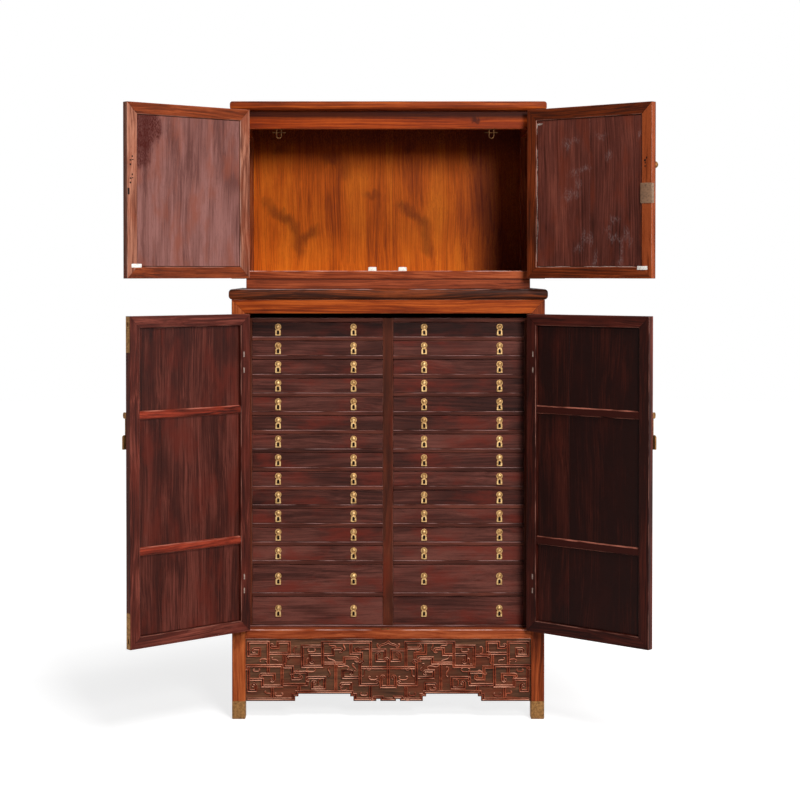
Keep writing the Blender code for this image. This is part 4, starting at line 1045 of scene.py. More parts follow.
@dataclass
class EndFrame:
    """An end of the base or of the hat chest: two posts, two rails, a floating panel and its hinge halves.

    Attributes:
        plan: Shared sizes.
        side: Hand of the end.
        tier: Tier that it belongs to.
    """

    plan: Plan
    side: Side
    tier: Tier
    panel_recess: float = 0.005
    panel_thick: float = 0.010
    hat_floor: float = 0.024
    hat_rail: float = 0.055
    corner: float = 0.004
    ease: float = 0.001
    mitre_depth: float = 0.0343
    ledge: tuple[float, float] = (0.014, 0.012)
    rack_low: float = 0.2642

    def post_section(self, y_low: float, y_high: float, outer_front: bool, outer_rear: bool) -> Array:
        """Draw a post's section as a left post, its outer corners rounded and its inner ones eased.

        Args:
            y_low: Front of the section.
            y_high: Rear of the section.
            outer_front: Whether the outer front corner is rounded.
            outer_rear: Whether the outer rear corner is rounded.

        Returns:
            Points across the width and depth.
        """
        plan = self.plan
        turn = np.linspace(0.0, math.pi / 2, 5)
        front_bend = self.corner if outer_front else self.ease
        rear_bend = self.corner if outer_rear else self.ease
        x_low, x_high, ease = -plan.half_width, -plan.half_opening, self.ease
        front = np.stack((x_low + front_bend * (1 - np.cos(turn)),
                          y_low + front_bend * (1 - np.sin(turn))), -1)
        inner = np.array(((x_high - ease, y_low), (x_high, y_low + ease), (x_high, y_high - ease),
                          (x_high - ease, y_high)))
        rear = np.stack((x_low + rear_bend * (1 - np.sin(turn)),
                         y_high - rear_bend * (1 - np.cos(turn))), -1)
        return np.concatenate((front, inner, rear))

    def posts(self) -> Form:
        """Build both posts; the front post of the base is cut on the mitre where the top rail meets it.

        Returns:
            The posts of a left end.
        """
        plan = self.plan
        rear = self.post_section(plan.rear - plan.post, plan.rear, False, True)
        if self.tier is Tier.UPPER:
            front = self.post_section(plan.front, plan.front + plan.post, True, False)
            return join(*[extruded(part, plan.hat_low, plan.hat_high, Axis.UPRIGHT)
                          for part in (front, rear)])
        front = self.post_section(plan.front, plan.front + self.mitre_depth, True, False)
        slope = (plan.base_high - plan.top_low) / plan.post
        top = plan.top_low + slope * (-plan.half_opening - front[:, 0]) - 0.0002
        behind = ((-plan.half_width, -plan.half_opening),
                  (plan.front + self.mitre_depth, plan.front + plan.post), (plan.foot, plan.base_high))
        tenon = 0.002
        stubs = [((-plan.half_width + tenon, -plan.half_opening - tenon),
                  (low + tenon, low + plan.post - tenon), (0.0034, plan.foot + 0.001))
                 for low in (plan.front, plan.rear - plan.post)]
        return join(extruded(front, plan.foot, top, Axis.UPRIGHT), boards(behind, ease=0.0002),
                    extruded(rear, plan.foot, plan.base_high, Axis.UPRIGHT), boards(stubs))

    def rails(self) -> Form:
        """Build the upper and lower rail between the posts, and in the base the ledge that carries the rack.

        Returns:
            The rails of a left end.
        """
        plan = self.plan
        deep = (plan.front + plan.post, plan.rear - plan.post)
        wide = (-plan.half_width + 0.001, -plan.half_opening)
        if self.tier is Tier.UPPER:
            levels = ((plan.hat_low, plan.hat_low + self.hat_floor),
                      (plan.hat_high - self.hat_rail, plan.hat_high))
            return boards([(wide, deep, level) for level in levels], ease=0.0015)
        levels = ((plan.bottom_low, plan.bottom_high), (plan.top_low, plan.base_high))
        ledge = ((-plan.half_opening - 0.001, -plan.half_opening + self.ledge[0]), deep,
                 (self.rack_low - self.ledge[1], self.rack_low))
        return boards([(wide, deep, level) for level in levels] + [ledge], ease=0.0015)

    def panel(self) -> Form:
        """Build the floating panel of a left end, in two boards.

        Returns:
            The panel.
        """
        plan = self.plan
        outer = -plan.half_width + self.panel_recess
        low, high = ((plan.hat_low + self.hat_floor, plan.hat_high - self.hat_rail) if self.tier is Tier.UPPER
                     else (plan.bottom_high, plan.top_low))
        deep = np.linspace(plan.front + plan.post - 0.002, plan.rear - plan.post + 0.002, 3)
        spans = [((outer, outer + self.panel_thick), pair, (low - 0.002, high + 0.002))
                 for pair in zip(deep, deep[1:])]
        return boards(spans, ease=0.0006)

    def build(self, hinge: "HingeSet") -> None:
        """Make and dress the pieces of the end.

        Args:
            hinge: Hinges of the door that hangs on it.
        """
        tier = "hat" if self.tier is Tier.UPPER else "base"
        name = f"{tier}_{self.side.name.lower()}"
        seed = 10 * (self.side.value + 2) + (5 if self.tier is Tier.UPPER else 0)
        # painted shade: the posts of a right end are a step darker than those of a left end
        shade = -0.15 - 0.15 * self.side.value
        parts = (("posts", self.posts().grained(Axis.UPRIGHT, seed, shade), POST_WOOD, (f"{name}_end",)),
                 ("rails", self.rails().grained(Axis.DEEP, seed + 1), RAIL_WOOD, ()),
                 ("side_panel", self.panel().grained(Axis.UPRIGHT, seed + 2), END_WOOD, ()))
        for part, form, finish, stands_for in parts:
            placed = form.mirrored() if self.side is Side.RIGHT else form
            make_piece(f"{name}_{part}", placed, finish, stands_for, smooth=30.0)
        make_piece(f"{name}_hinge_leaves", hinge.fixed(), BRASS, smooth=40.0)


@dataclass
class HingeSet:
    """The two hinges of one door, with their knuckles, leaves and pins.

    Attributes:
        side: Hand of the door.
        pivot: Place of the hinge axis along the width and depth.
        opening: Angle that the door stands open at.
        levels: Heights of the hinges.
    """

    side: Side
    pivot: Span
    opening: float
    levels: tuple[float, float]
    tall: float = 0.066
    axis_out: float = 0.0035
    knuckle: float = 0.0032
    pin: float = 0.0016
    leaf: Span = (0.004, 0.026)
    thick: float = 0.0015
    sunk: float = 0.0005

    def leaf_form(self, level: float, moving: bool) -> Form:
        """Draw one leaf of a left door's hinge, in the frame of its axis, with its tabs, knuckles and pins.

        Args:
            level: Height of the hinge.
            moving: Whether the leaf is the door's.

        Returns:
            The leaf.
        """
        sign = 1.0 if moving else -1.0
        third = self.tall / 3
        depth = (self.axis_out - self.thick, self.axis_out + self.sunk)
        plate = boards((sorted((sign * self.leaf[0], sign * self.leaf[1])), depth,
                        (level - self.tall / 2, level + self.tall / 2)), ease=0.0004)
        centres = (level,) if moving else (level - third, level + third)
        half = third / 2 - 0.0004
        tabs = boards([(sorted((sign * 0.0009, sign * (self.leaf[0] + self.sunk))), depth,
                        (centre - half, centre + half)) for centre in centres], ease=0.0002)
        ease, inner = 0.0005, self.pin + 0.0003 if moving else 0.0
        radii = np.array((inner, self.knuckle - ease, self.knuckle, self.knuckle, self.knuckle - ease, inner))
        barrels = []
        for centre in centres:
            low, high = centre - half, centre + half
            heights = (low, low, low + ease, high - ease, high, high)
            if moving:
                rings = rounded_outline(radii, radii, ROUND * radii, steps=4)
                barrels.append(stacked(rings, heights, hollow=True))
            else:
                barrels.append(lathe(np.stack((radii, heights), -1), segments=14))
        if not moving:
            reach = self.tall / 2
            barrels.append(lathe(((0.0, level - reach), (self.pin, level - reach), (self.pin, level + reach),
                                  (0.0, level + reach)), segments=10))
        middle = sign * (self.leaf[0] + self.leaf[1]) / 2
        places = [(middle + sign * across, depth[0], level + rise) for across, rise in
                  ((-0.003, 0.024), (0.004, 0.014), (0.004, -0.014), (-0.003, -0.024))]
        heads = pin_heads(places, radius=0.0019, rise=0.0008, axis=Axis.DEEP, outward=-1.0)
        return join(plate, tabs, *barrels, heads)

    def place(self, form: Form, moving: bool) -> Form:
        """Carry a form from the frame of a left door's axis to where it hangs.

        Args:
            form: Form in that frame, with the door closed.
            moving: Whether it turns with the door.

        Returns:
            The placed form.
        """
        handed = form.mirrored() if self.side is Side.RIGHT else form
        return handed.swung(self.side.value * self.opening if moving else 0.0, self.pivot)

    def fixed(self) -> Form:
        """Build the halves that stay on the posts."""
        return join(*[self.place(self.leaf_form(level, False), False) for level in self.levels])


@dataclass
class TopBoard:
    """A framed top: mitred members with a rounded outer edge round a sunk panel.

    Attributes:
        name: Name of its pieces.
        node: Solid that it stands for.
        x_half: Half width.
        y_span: Depth limits.
        z_span: Height limits.
        bend: Radius of the outer edge.
        seed: Number that fixes its grain.
    """

    name: str
    node: str
    x_half: float
    y_span: Span
    z_span: Span
    bend: float
    seed: int
    member: float = 0.078
    sunk: float = 0.0012
    tongue: float = 0.003

    def section(self) -> Array:
        """Draw a member's section: two quarter circles on the outer edge and an eased inner arris.

        Returns:
            Distance in from the edge and depth below the zero level.
        """
        low, high = self.z_span
        turn = np.linspace(0.0, math.pi / 2, 6)
        under = np.stack((self.bend * (1 - np.sin(turn)), low + self.bend * (1 - np.cos(turn))), -1)
        over = np.stack((self.bend * (1 - np.cos(turn)), high - self.bend * (1 - np.sin(turn))), -1)
        inner = np.array(((self.member - self.sunk, high), (self.member, high - self.sunk),
                          (self.member, low)))
        return np.concatenate((under, over, inner)) * np.array((1.0, -1.0))

    def build(self, finish: Wood) -> None:
        """Make and dress the top.

        Args:
            finish: Its wood.
        """
        rim = framed((-self.x_half, self.x_half), self.y_span, self.section(), self.seed, worn_and_sheen=(9, 10),
                     flat=True)
        edge = self.member - self.tongue
        cuts = np.linspace(-self.x_half + edge, self.x_half - edge, 4)
        inside = (self.y_span[0] + edge, self.y_span[1] - edge)
        panel = boards([(pair, inside, (self.z_span[0] + 0.006, self.z_span[1] - self.sunk))
                        for pair in zip(cuts, cuts[1:])], ease=0.0006).grained(Axis.ACROSS, self.seed + 2)
        make_piece(f"{self.name}_frame", rim, finish, (self.node,), smooth=40.0)
        make_piece(f"{self.name}_field", panel, finish)


@dataclass
class BackPanel:
    """A back: upright boards, framed on the rear face by four mitred members.

    Attributes:
        plan: Shared sizes.
        name: Name of its pieces.
        node: Solid that it stands for.
        z_span: Height limits.
        cuts: Joints of the boards, as shares of the width.
        seed: Number that fixes its grain.
        border: Width of the members behind.
        rise: How far they stand out from the boards.
        rear_tone: Lightness step of the boards' rear faces.
    """

    plan: Plan
    name: str
    node: str
    z_span: Span
    cuts: tuple[float, ...]
    seed: int
    border: float = 0.050
    rise: float = 0.004
    rear_tone: float = 0.0

    def build(self, face: Wood, rear: Wood) -> None:
        """Make and dress the back.

        Args:
            face: Wood of the boards.
            rear: Wood of the members behind.
        """
        plan, half = self.plan, self.plan.half_fit
        places = half * (2.0 * np.array((0.0, *self.cuts, 1.0)) - 1.0)
        deep = (plan.back_inner, plan.back_face - self.rise)
        planks = boards([(pair, deep, self.z_span) for pair in zip(places, places[1:])], ease=0.0004)
        planks = planks.grained(Axis.UPRIGHT, self.seed, spread=0.08)
        planks = planks.toned(self.rear_tone * (planks.points[:, 1] > np.mean(deep)))
        make_piece(f"{self.name}_boards", planks, face, (self.node,))
        section = ((0.0, deep[1]), (0.0, plan.back_face), (self.border - 0.002, plan.back_face),
                   (self.border, plan.back_face - 0.002), (self.border, deep[1]))
        members = framed((-half, half), self.z_span, section, self.seed + 1, worn_and_sheen=(2,))
        make_piece(f"{self.name}_rear_frame", members, rear)


@dataclass
class BaseCarcass:
    """Front rails, foot caps, back and top of the base, with the strike plates of the flush bolts.

    Attributes:
        plan: Shared sizes.
    """

    plan: Plan
    arris: float = 0.002
    bead: float = 0.005
    cap_wall: float = 0.0016
    overhang: float = 0.008
    strike: tuple[float, float] = (-0.0085, -0.058886)

    def front_rails(self) -> tuple[Form, Form]:
        """Draw the bottom rail with a bead near its lower edge, and the top rail with mitred ends.

        Returns:
            The bottom rail and the top rail.
        """
        plan, ease, bead = self.plan, self.arris, self.bead
        front, back = plan.front, plan.front + plan.rail_depth
        low, high = plan.bottom_low, plan.bottom_high
        bottom = ((front + ease, high), (front + 0.3 * ease, high - 0.3 * ease), (front, high - ease),
                  (front, low + bead + 0.001), (front + 0.0012, low + bead), (front, low + bead - 0.001),
                  (front, low + ease), (front + ease, low), (back, low), (back, high))
        # the pale upper arrises are partly wear and partly a painted highlight of the light from above
        lower = extruded(bottom, -plan.half_fit, plan.half_fit, Axis.ACROSS, worn_and_sheen=(0, 1, 6))
        low, high, ease = plan.top_low, plan.base_high, 0.0008
        top = np.array(((front + ease, high), (front, high - ease), (front, low + ease), (front + ease, low),
                        (back, low), (back, high)))
        reach = plan.half_opening + (top[:, 1] - low) / (high - low) * plan.post - 0.0006
        return lower, extruded(top, -reach, reach, Axis.ACROSS, worn_and_sheen=(0,))

    def foot_cap(self, x: float, y: float) -> Form:
        """Draw a shoe: rounded square rings that rise outside, roll over the rim and go down inside.

        Args:
            x: Middle of the post along the width.
            y: Middle of the post along the depth.

        Returns:
            The shoe.
        """
        half, wall, rim = self.plan.post / 2, self.cap_wall, 0.0006
        inset = np.array((0.004, 0.0015, 0.0003, 0.0, 0.0, 0.0004, 0.0004, 0.0, 0.0,
                          rim, wall - rim, wall, wall))
        level = np.array((0.0, 0.0004, 0.0018, 0.0036, 0.0470, 0.0474, 0.0482, 0.0486, 0.0544,
                          0.055, 0.055, 0.0544, 0.003))
        rings = rounded_outline(half - inset, half - inset, np.maximum(0.0035 - inset, 0.0008))
        return stacked(rings, level).moved(x, y)

    def strike_plate(self, level: float) -> Form:
        """Draw a pierced plate on a rail's face towards the doors, about the hole for a flush bolt.

        Args:
            level: Height of the rail's face.

        Returns:
            The plate.
        """
        half = np.array((0.013, 0.013, 0.0052, 0.0052))
        rings = rounded_outline(half, half * np.array((0.7, 0.7, 1.0, 1.0)),
                                np.array((0.002, 0.002, 0.0006, 0.0006)))
        heights = np.array((level - 0.0004, level + 0.0004, level + 0.0004, level - 0.0004))
        return stacked(rings, heights, hollow=True).moved(*self.strike)

    def build(self) -> None:
        """Make and dress the pieces."""
        plan = self.plan
        lower, upper = self.front_rails()
        make_piece("base_bottom_rail", lower.grained(Axis.ACROSS, 41), LEDGE_WOOD,
                   ("base_front_bottom_rail",))
        make_piece("base_top_rail", upper.grained(Axis.ACROSS, 42, tone=0.05), RAIL_WOOD,
                   ("base_front_top_rail",))
        plates = join(self.strike_plate(plan.top_low), self.strike_plate(plan.bottom_high))
        make_piece("bolt_strike_plates", plates, DULL_BRASS)
        places = {"front": plan.front + plan.post / 2, "rear": plan.rear - plan.post / 2}
        for along, y in places.items():
            for side in Side:
                name = f"{along}_{side.name.lower()}_foot_cap"
                x = side.value * (plan.half_width - plan.post / 2)
                make_piece(f"{name}_shoe", self.foot_cap(x, y), DULL_BRASS, (name,), smooth=40.0)
        back = BackPanel(plan, "base_back", "base_back_panel", (plan.bottom_low, plan.base_high),
                         cuts=(0.25, 0.5, 0.75), seed=43)
        back.build(BACK_WOOD, END_WOOD)
        deep = (plan.front - self.overhang, plan.rear + self.overhang)
        top = TopBoard("base_top", "base_top_board", plan.half_width + self.overhang, deep, plan.cap,
                       bend=0.011, seed=46)
        top.build(CAP_WOOD)


@dataclass
class CarvedApron:
    """The carved apron: a ground with a stepped lower edge, and a fret of double-beaded bands with curls.

    Attributes:
        plan: Shared sizes.
        step: Size of one step of the fret.
        band: Width of a band.
        relief: Height of the beads over the ground.
        curl: Size of the curls at the ends of the bands.
        bead: Width of the small scrolls.
        lift: Step in height that keeps crossing bands apart.
        border_share: Width of the band along the lower edge, as a share of the others'.
        outline: Lower edge of one half from the middle: distance along and rise, in steps.
        border: Band along that edge, in steps.
        middle: Bands across the middle, in steps.
        half: Bands of one half, in steps.
        round_scrolls: Scrolls of one half whose ends wind to one side: place in steps, heading in degrees
            and length.
        long_scrolls: Scrolls of one half whose ends wind to opposite sides.
    """

    plan: Plan
    step: float = 0.004
    band: float = 0.0096
    relief: float = 0.0040
    curl: float = 0.0068
    bead: float = 0.0046
    lift: float = 0.00006
    border_share: float = 0.8
    outline: tuple[Span, ...] = ((0.0, 0.0), (6.0, 0.0), (6.0, 1.5), (9.0, 1.5), (9.0, 0.0), (26.5, 0.0),
                                 (26.5, 3.5), (29.0, 3.5), (29.0, 5.5), (68.5, 5.5), (68.5, 3.5), (71.0, 3.5),
                                 (71.0, 0.0))
    border: tuple[Span, ...] = ((4.4, 1.7), (4.4, 3.2), (10.6, 3.2), (10.6, 1.7), (24.9, 1.7), (24.9, 5.2),
                                (27.4, 5.2), (27.4, 7.2), (70.1, 7.2), (70.1, 5.2), (72.6, 5.2), (72.6, 1.7),
                                (107.4, 1.7))
    middle: tuple[tuple[Span, ...], ...] = (
        ((0.0, 31.0), (0.0, 11.0)), ((-21.5, 25.5), (21.5, 25.5)), ((-5.5, 17.5), (-5.5, 11.0), (5.5, 11.0),
                                                                    (5.5, 17.5)))
    half: tuple[tuple[Span, ...], ...] = (
        ((91.5, 27.0), (91.5, 45.0), (106.5, 45.0), (106.5, 35.0), (98.0, 35.0), (98.0, 40.0), (101.5, 40.0)),
        ((91.5, 36.5), (75.5, 36.5), (75.5, 45.0), (84.0, 45.0), (84.0, 41.0), (88.0, 41.0)),
        ((107.0, 27.0), (81.0, 27.0), (81.0, 11.5), (96.0, 11.5), (96.0, 16.5), (106.5, 16.5)),
        ((106.5, 27.0), (106.5, 8.0), (101.0, 8.0), (101.0, 11.5)),
        ((91.5, 27.0), (91.5, 20.5)),
        ((96.0, 20.5), (87.0, 20.5), (87.0, 17.0)),
        ((79.5, 36.5), (79.5, 26.0), (73.0, 26.0), (73.0, 17.0), (68.0, 17.0)),
        ((73.0, 22.0), (62.0, 22.0), (62.0, 12.5), (81.0, 12.5)),
        ((75.5, 35.0), (65.5, 35.0)),
        ((50.0, 42.0), (65.5, 42.0), (65.5, 26.5), (50.0, 26.5), (50.0, 45.0), (13.5, 45.0), (13.5, 26.0)),
        ((59.5, 31.0), (59.5, 35.5), (50.0, 35.5)),
        ((28.5, 45.0), (28.5, 36.5), (20.5, 36.5), (20.5, 32.0)),
        ((13.5, 40.5), (23.0, 40.5)),
        ((50.0, 35.5), (42.0, 35.5), (42.0, 40.0), (37.0, 40.0)),
        ((50.0, 29.0), (33.5, 29.0), (33.5, 33.0), (25.0, 33.0)),
        ((40.0, 29.0), (40.0, 7.2)),
        ((13.5, 39.0), (2.5, 39.0), (2.5, 31.0), (9.0, 31.0), (9.0, 35.0)),
        ((21.5, 29.5), (21.5, 12.5), (9.0, 12.5)),
        ((21.5, 18.0), (34.5, 18.0), (34.5, 23.0), (29.0, 23.0)),
        ((34.5, 13.5), (28.5, 13.5), (28.5, 7.2)),
        ((60.5, 18.0), (48.5, 18.0), (48.5, 10.0), (58.0, 10.0), (58.0, 13.5)),
        ((13.5, 12.5), (13.5, 2.8)),
        ((88.5, 11.5), (88.5, 1.7)),
        ((68.0, 12.5), (68.0, 7.2)))
    round_scrolls: tuple[tuple[float, float, float, float], ...] = (
        (71.0, 39.0, 90.0, 0.040), (23.5, 39.0, 20.0, 0.036), (11.5, 17.5, 0.0, 0.050),
        (59.0, 23.6, 0.0, 0.048), (83.5, 4.9, 0.0, 0.044), (18.5, 5.2, 0.0, 0.040),
        (95.0, 31.2, 180.0, 0.040), (34.0, 9.0, 0.0, 0.036), (100.5, 23.5, 0.0, 0.036),
        (52.5, 14.0, 90.0, 0.036), (58.5, 38.6, 0.0, 0.044), (7.6, 42.0, 60.0, 0.026))
    long_scrolls: tuple[tuple[float, float, float, float], ...] = (
        (43.5, 31.8, 12.0, 0.052), (34.5, 26.6, -14.0, 0.058), (71.5, 21.8, 130.0, 0.044),
        (45.0, 22.6, 60.0, 0.046), (42.5, 42.4, 0.0, 0.040), (18.0, 22.0, 90.0, 0.044),
        (26.0, 26.0, 40.0, 0.036), (62.0, 30.5, 90.0, 0.034), (77.5, 31.0, 90.0, 0.036),
        (33.5, 41.5, 60.0, 0.034), (86.5, 31.5, 0.0, 0.034), (92.0, 6.0, 0.0, 0.032))

    @property
    def front(self) -> float:
        """Depth of the ground's face."""
        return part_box("carved_apron")[0].y + self.relief

    def placed(self, steps: ArrayLike) -> Array:
        """Carry places given in steps of the fret to metres."""
        return np.asarray(steps) * self.step + np.array((0.0, self.plan.apron_low))

    def section(self, lift: float) -> Array:
        """Draw a band's section: two round beads with a sunk groove between, its foot in the ground.

        Args:
            lift: Small rise that keeps crossing bands apart.

        Returns:
            Distance across the band and rise.
        """
        turn = np.linspace(math.pi, 0.0, 5)
        bead = self.band / 6.0
        centre = self.band / 2 - bead
        hump = np.stack((bead * np.cos(turn), self.relief * (0.40 + 0.60 * np.sin(turn)) + lift), -1)
        left, right = hump - np.array((centre, 0.0)), hump + np.array((centre, 0.0))
        half, low = 0.8 * (centre - bead), 0.20 * self.relief + lift
        groove = np.array(((-half, low), (half, low)))
        feet = np.array(((self.band / 2, -0.001), (-self.band / 2, -0.001)))
        return np.concatenate((left, groove, right, feet))

    def meets(self, point: Array, lines: Array) -> bool:
        """Tell whether a point lies on one of the lines, within a third of a step.

        Args:
            point: Place of the end of a band.
            lines: First and last place of every straight run that it may meet.

        Returns:
            Whether it meets one.
        """
        start, run = lines[:, 0], lines[:, 1] - lines[:, 0]
        share = np.clip(((point - start) * run).sum(1) / (run * run).sum(1), 0.0, 1.0)
        gap = np.linalg.norm(start + share[:, None] * run - point, axis=1)
        return bool((gap < 0.34 * self.step).any())

    def ended(self, path: Array, lines: Array) -> tuple[Array, Array]:
        """Finish the last end of a path: stop short of a band that it meets, or wind it into a curl.

        The curl's heading turns on the same way as the last corner, by equal steps of a turn and a quarter in
        total, while its steps and its width shrink.

        Args:
            path: Places of the path.
            lines: Straight runs of all the other bands.

        Returns:
            The finished path and the share of the full width at each place.
        """
        step = path[-1] - path[-2]
        heading = step / np.linalg.norm(step)
        if self.meets(path[-1], lines):
            return np.vstack((path[:-1], path[-1] - heading * 0.42 * self.band)), np.ones(len(path))
        before = path[-2] - path[-3] if len(path) > 2 else np.array((heading[1], -heading[0]))
        way = np.sign(before[0] * heading[1] - before[1] * heading[0]) or 1.0
        count = 14
        turn = math.atan2(heading[1], heading[0]) + way * np.linspace(0.0, 1.55 * math.pi, count)
        stride = np.linspace(1.0, 0.42, count) * self.curl * 1.55 * math.pi / count
        wound = path[-1] + np.cumsum(stride[:, None] * np.stack((np.cos(turn), np.sin(turn)), -1), axis=0)
        return np.vstack((path, wound)), np.concatenate((np.ones(len(path)), np.linspace(0.95, 0.5, count)))

    def bands(self) -> Form:
        """Build all the bands, those of one half also mirrored.

        Returns:
            The fret.
        """
        drawn = [np.array(path) for path in self.half]
        drawn += [path * FLIP for path in drawn] + [np.array(path) for path in self.middle]
        edge = np.array(self.border)
        paths = [self.placed(path) for path in (*drawn, np.concatenate((edge[::-1] * FLIP, edge)))]
        runs = [np.stack((path[:-1], path[1:]), 1) for path in paths]
        sections = [self.section(self.lift * (index % 5)) for index in range(len(paths))]
        made = []
        for index, path in enumerate(paths[:-1]):
            rest, own = runs[:index] + runs[index + 1:], runs[index]
            last, share = self.ended(path, np.concatenate(rest + [own[:-2]]))
            kept = len(last) == len(path)
            first, other = self.ended(last[::-1] if kept else path[::-1], np.concatenate(rest + [own[2:]]))
            whole = np.vstack((first[-1:], last[1:]))
            if len(first) > len(path):
                whole = np.concatenate((first[:len(path) - 1:-1], last))
                share = np.concatenate((other[:len(path) - 1:-1], share))
            made.append(ribbon(whole, sections[index], self.front, share))
        return join(*made, ribbon(paths[-1], sections[-1], self.front, self.border_share))

    def shaded(self, form: Form) -> Form:
        """Paint light and shade on the bands: a painted highlight on their upper flanks, lit from above, and
        painted shade at their feet.

        The painted highlight of a face is what its outward direction has upwards; the tone sinks, as painted
        shade, with the depth and on faces that look down.

        Args:
            form: The bands.

        Returns:
            The bands with their painted highlight and shade.
        """
        wear, total, count = [], np.zeros(len(form.points)), np.zeros(len(form.points))
        for part in form.faces:
            corner = form.points[part]
            out = np.cross(corner[:, 2] - corner[:, 0], corner[:, 3 % part.shape[1]] - corner[:, 1])
            up = -np.sign(out[:, 1]) * out[:, 2] / np.maximum(np.linalg.norm(out, axis=1), 1e-12)
            # painted highlight on the faces that look up, drawn in the finish's pale arris tone
            wear.append(np.clip(2.0 * up - 0.3, 0.0, 1.0))
            np.add.at(total, part.ravel(), np.repeat(up, part.shape[1]))
            np.add.at(count, part.ravel(), 1.0)
        # painted shade: darker with the depth below the crests and on faces that look down
        deep = np.clip((form.points[:, 1] - form.points[:, 1].min()) / self.relief - 0.35, 0.0, 0.6)
        under = np.clip(-total / count, 0.0, 1.0)
        return replace(form, wear=wear, tone=form.tone - 1.4 * deep - 0.8 * under)

    def scrolls(self) -> Form:
        """Build the small scrolls that fill the fret's cells, those of one half also mirrored.

        A scroll's heading grows with the square of the way from its middle, to two thirds of a turn at its
        ends; its steps and its width shrink towards them.

        Returns:
            The scrolls.
        """
        run = np.linspace(-1.0, 1.0, 27)
        share = 1.0 - 0.45 * np.abs(run)
        stride = 1.0 - 0.5 * np.abs(run)
        made = []
        for kind, places in ((np.sign(run), self.round_scrolls), (np.ones(len(run)), self.long_scrolls)):
            for x, z, heading, length in places:
                turn = math.radians(heading) + 1.3 * math.pi * kind * run ** 2
                steps = (stride * length / stride.sum())[:, None] * np.stack((np.cos(turn), np.sin(turn)), -1)
                path = np.cumsum(steps, axis=0)
                path += self.placed((x, z)) - path.mean(0)
                made += [path, path[::-1] * FLIP]
        arc = np.linspace(math.pi, 0.0, 7)
        hump = np.stack((self.bead / 2 * np.cos(arc), self.relief * (0.2 + 0.76 * np.sin(arc))), -1)
        section = np.concatenate((hump, ((self.bead / 2, -0.001), (-self.bead / 2, -0.001))))
        return join(*[ribbon(path, section, self.front, share) for path in made])

    def leaf(self) -> Form:
        """Build the small leaf at the top of the middle: a ribbon that narrows along a peaked arch.

        Returns:
            The leaf.
        """
        turn = np.linspace(0.04, 0.96, 17) * math.pi
        peak = 0.006 * np.exp(-(np.cos(turn) / 0.16) ** 2)
        height = self.plan.apron_low + 0.158 + 0.017 * np.sin(turn) ** 0.7 + peak
        path = np.stack((-0.030 * np.cos(turn), height), -1)
        return ribbon(path, self.section(0.0002), self.front, 0.35 + 0.5 * np.sin(turn))

    def ground(self) -> Form:
        """Build the ground as one board with the stepped lower edge.

        Returns:
            The ground.
        """
        plan = self.plan
        end = np.array(((plan.half_fit, plan.apron_low), (plan.half_fit, plan.bottom_low - plan.joint)))
        right = np.concatenate((self.placed(self.outline), end))
        whole = np.concatenate((right, right[:0:-1] * FLIP))
        return extruded(whole[:, ::-1], self.front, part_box("carved_apron")[1].y, Axis.DEEP)

    def build(self) -> None:
        """Make and dress the apron."""
        make_piece("apron_ground", self.ground().grained(Axis.ACROSS, 51), APRON_WOOD, ("carved_apron",))
        fret = join(self.bands(), self.scrolls(), self.leaf()).grained(Axis.ACROSS, 52, tone=0.1, spread=0.2)
        make_piece("apron_fret", self.shaded(fret), FRET_WOOD, smooth=50.0)


@dataclass
class DrawerRack:
    """The rack that the drawers run in: sides, partition, floor, top and the boards between the drawers.

    Attributes:
        plan: Shared sizes.
        names: Drawers of each column from the top.
        centre: Half the partition's thickness.
        under: Gap under a drawer.
        over: Gap over a drawer.
    """

    plan: Plan
    names: dict[Side, list[str]]
    centre: float = 0.0155
    under: float = 0.0003
    over: float = 0.0012

    def build(self) -> None:
        """Make and dress the rack."""
        low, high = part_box("drawer_rack")
        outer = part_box(self.names[Side.RIGHT][0])[1].x + 0.0006
        deep, tall = (low.y, high.y), (low.z, high.z)
        cells = [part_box(name) for name in self.names[Side.LEFT]]
        tops = np.array([cell[1].z + self.over for cell in cells])
        floors = np.array([cell[0].z - self.under for cell in cells])
        uprights = boards([((low.x, -outer), deep, tall), ((-self.centre, self.centre), deep, tall),
                           ((outer, high.x), deep, tall)], ease=0.001)
        make_piece("rack_uprights", uprights.grained(Axis.UPRIGHT, 61), UPRIGHT_WOOD, ("drawer_rack",))
        levels = [(tops[0], high.z), *zip(tops[1:], floors[:-1]), (low.z, floors[-1])]
        spans = [(pair, (deep[0] - 0.0006, deep[1]), level) for level in levels
                 for pair in ((-outer, -self.centre), (self.centre, outer))]
        rail = self.plan.front + self.plan.rail_depth + self.under
        spans.append(((low.x, high.x), (rail, deep[0] - 0.0008), (low.z, floors[-1])))
        # painted highlight, with some wear: the pale tone on the upper front arris of every shelf
        shelves = boards(spans, ease=0.0012, worn_and_sheen=(7,)).grained(Axis.ACROSS, 62, spread=0.3)
        make_piece("rack_shelves", shelves, RACK_WOOD)


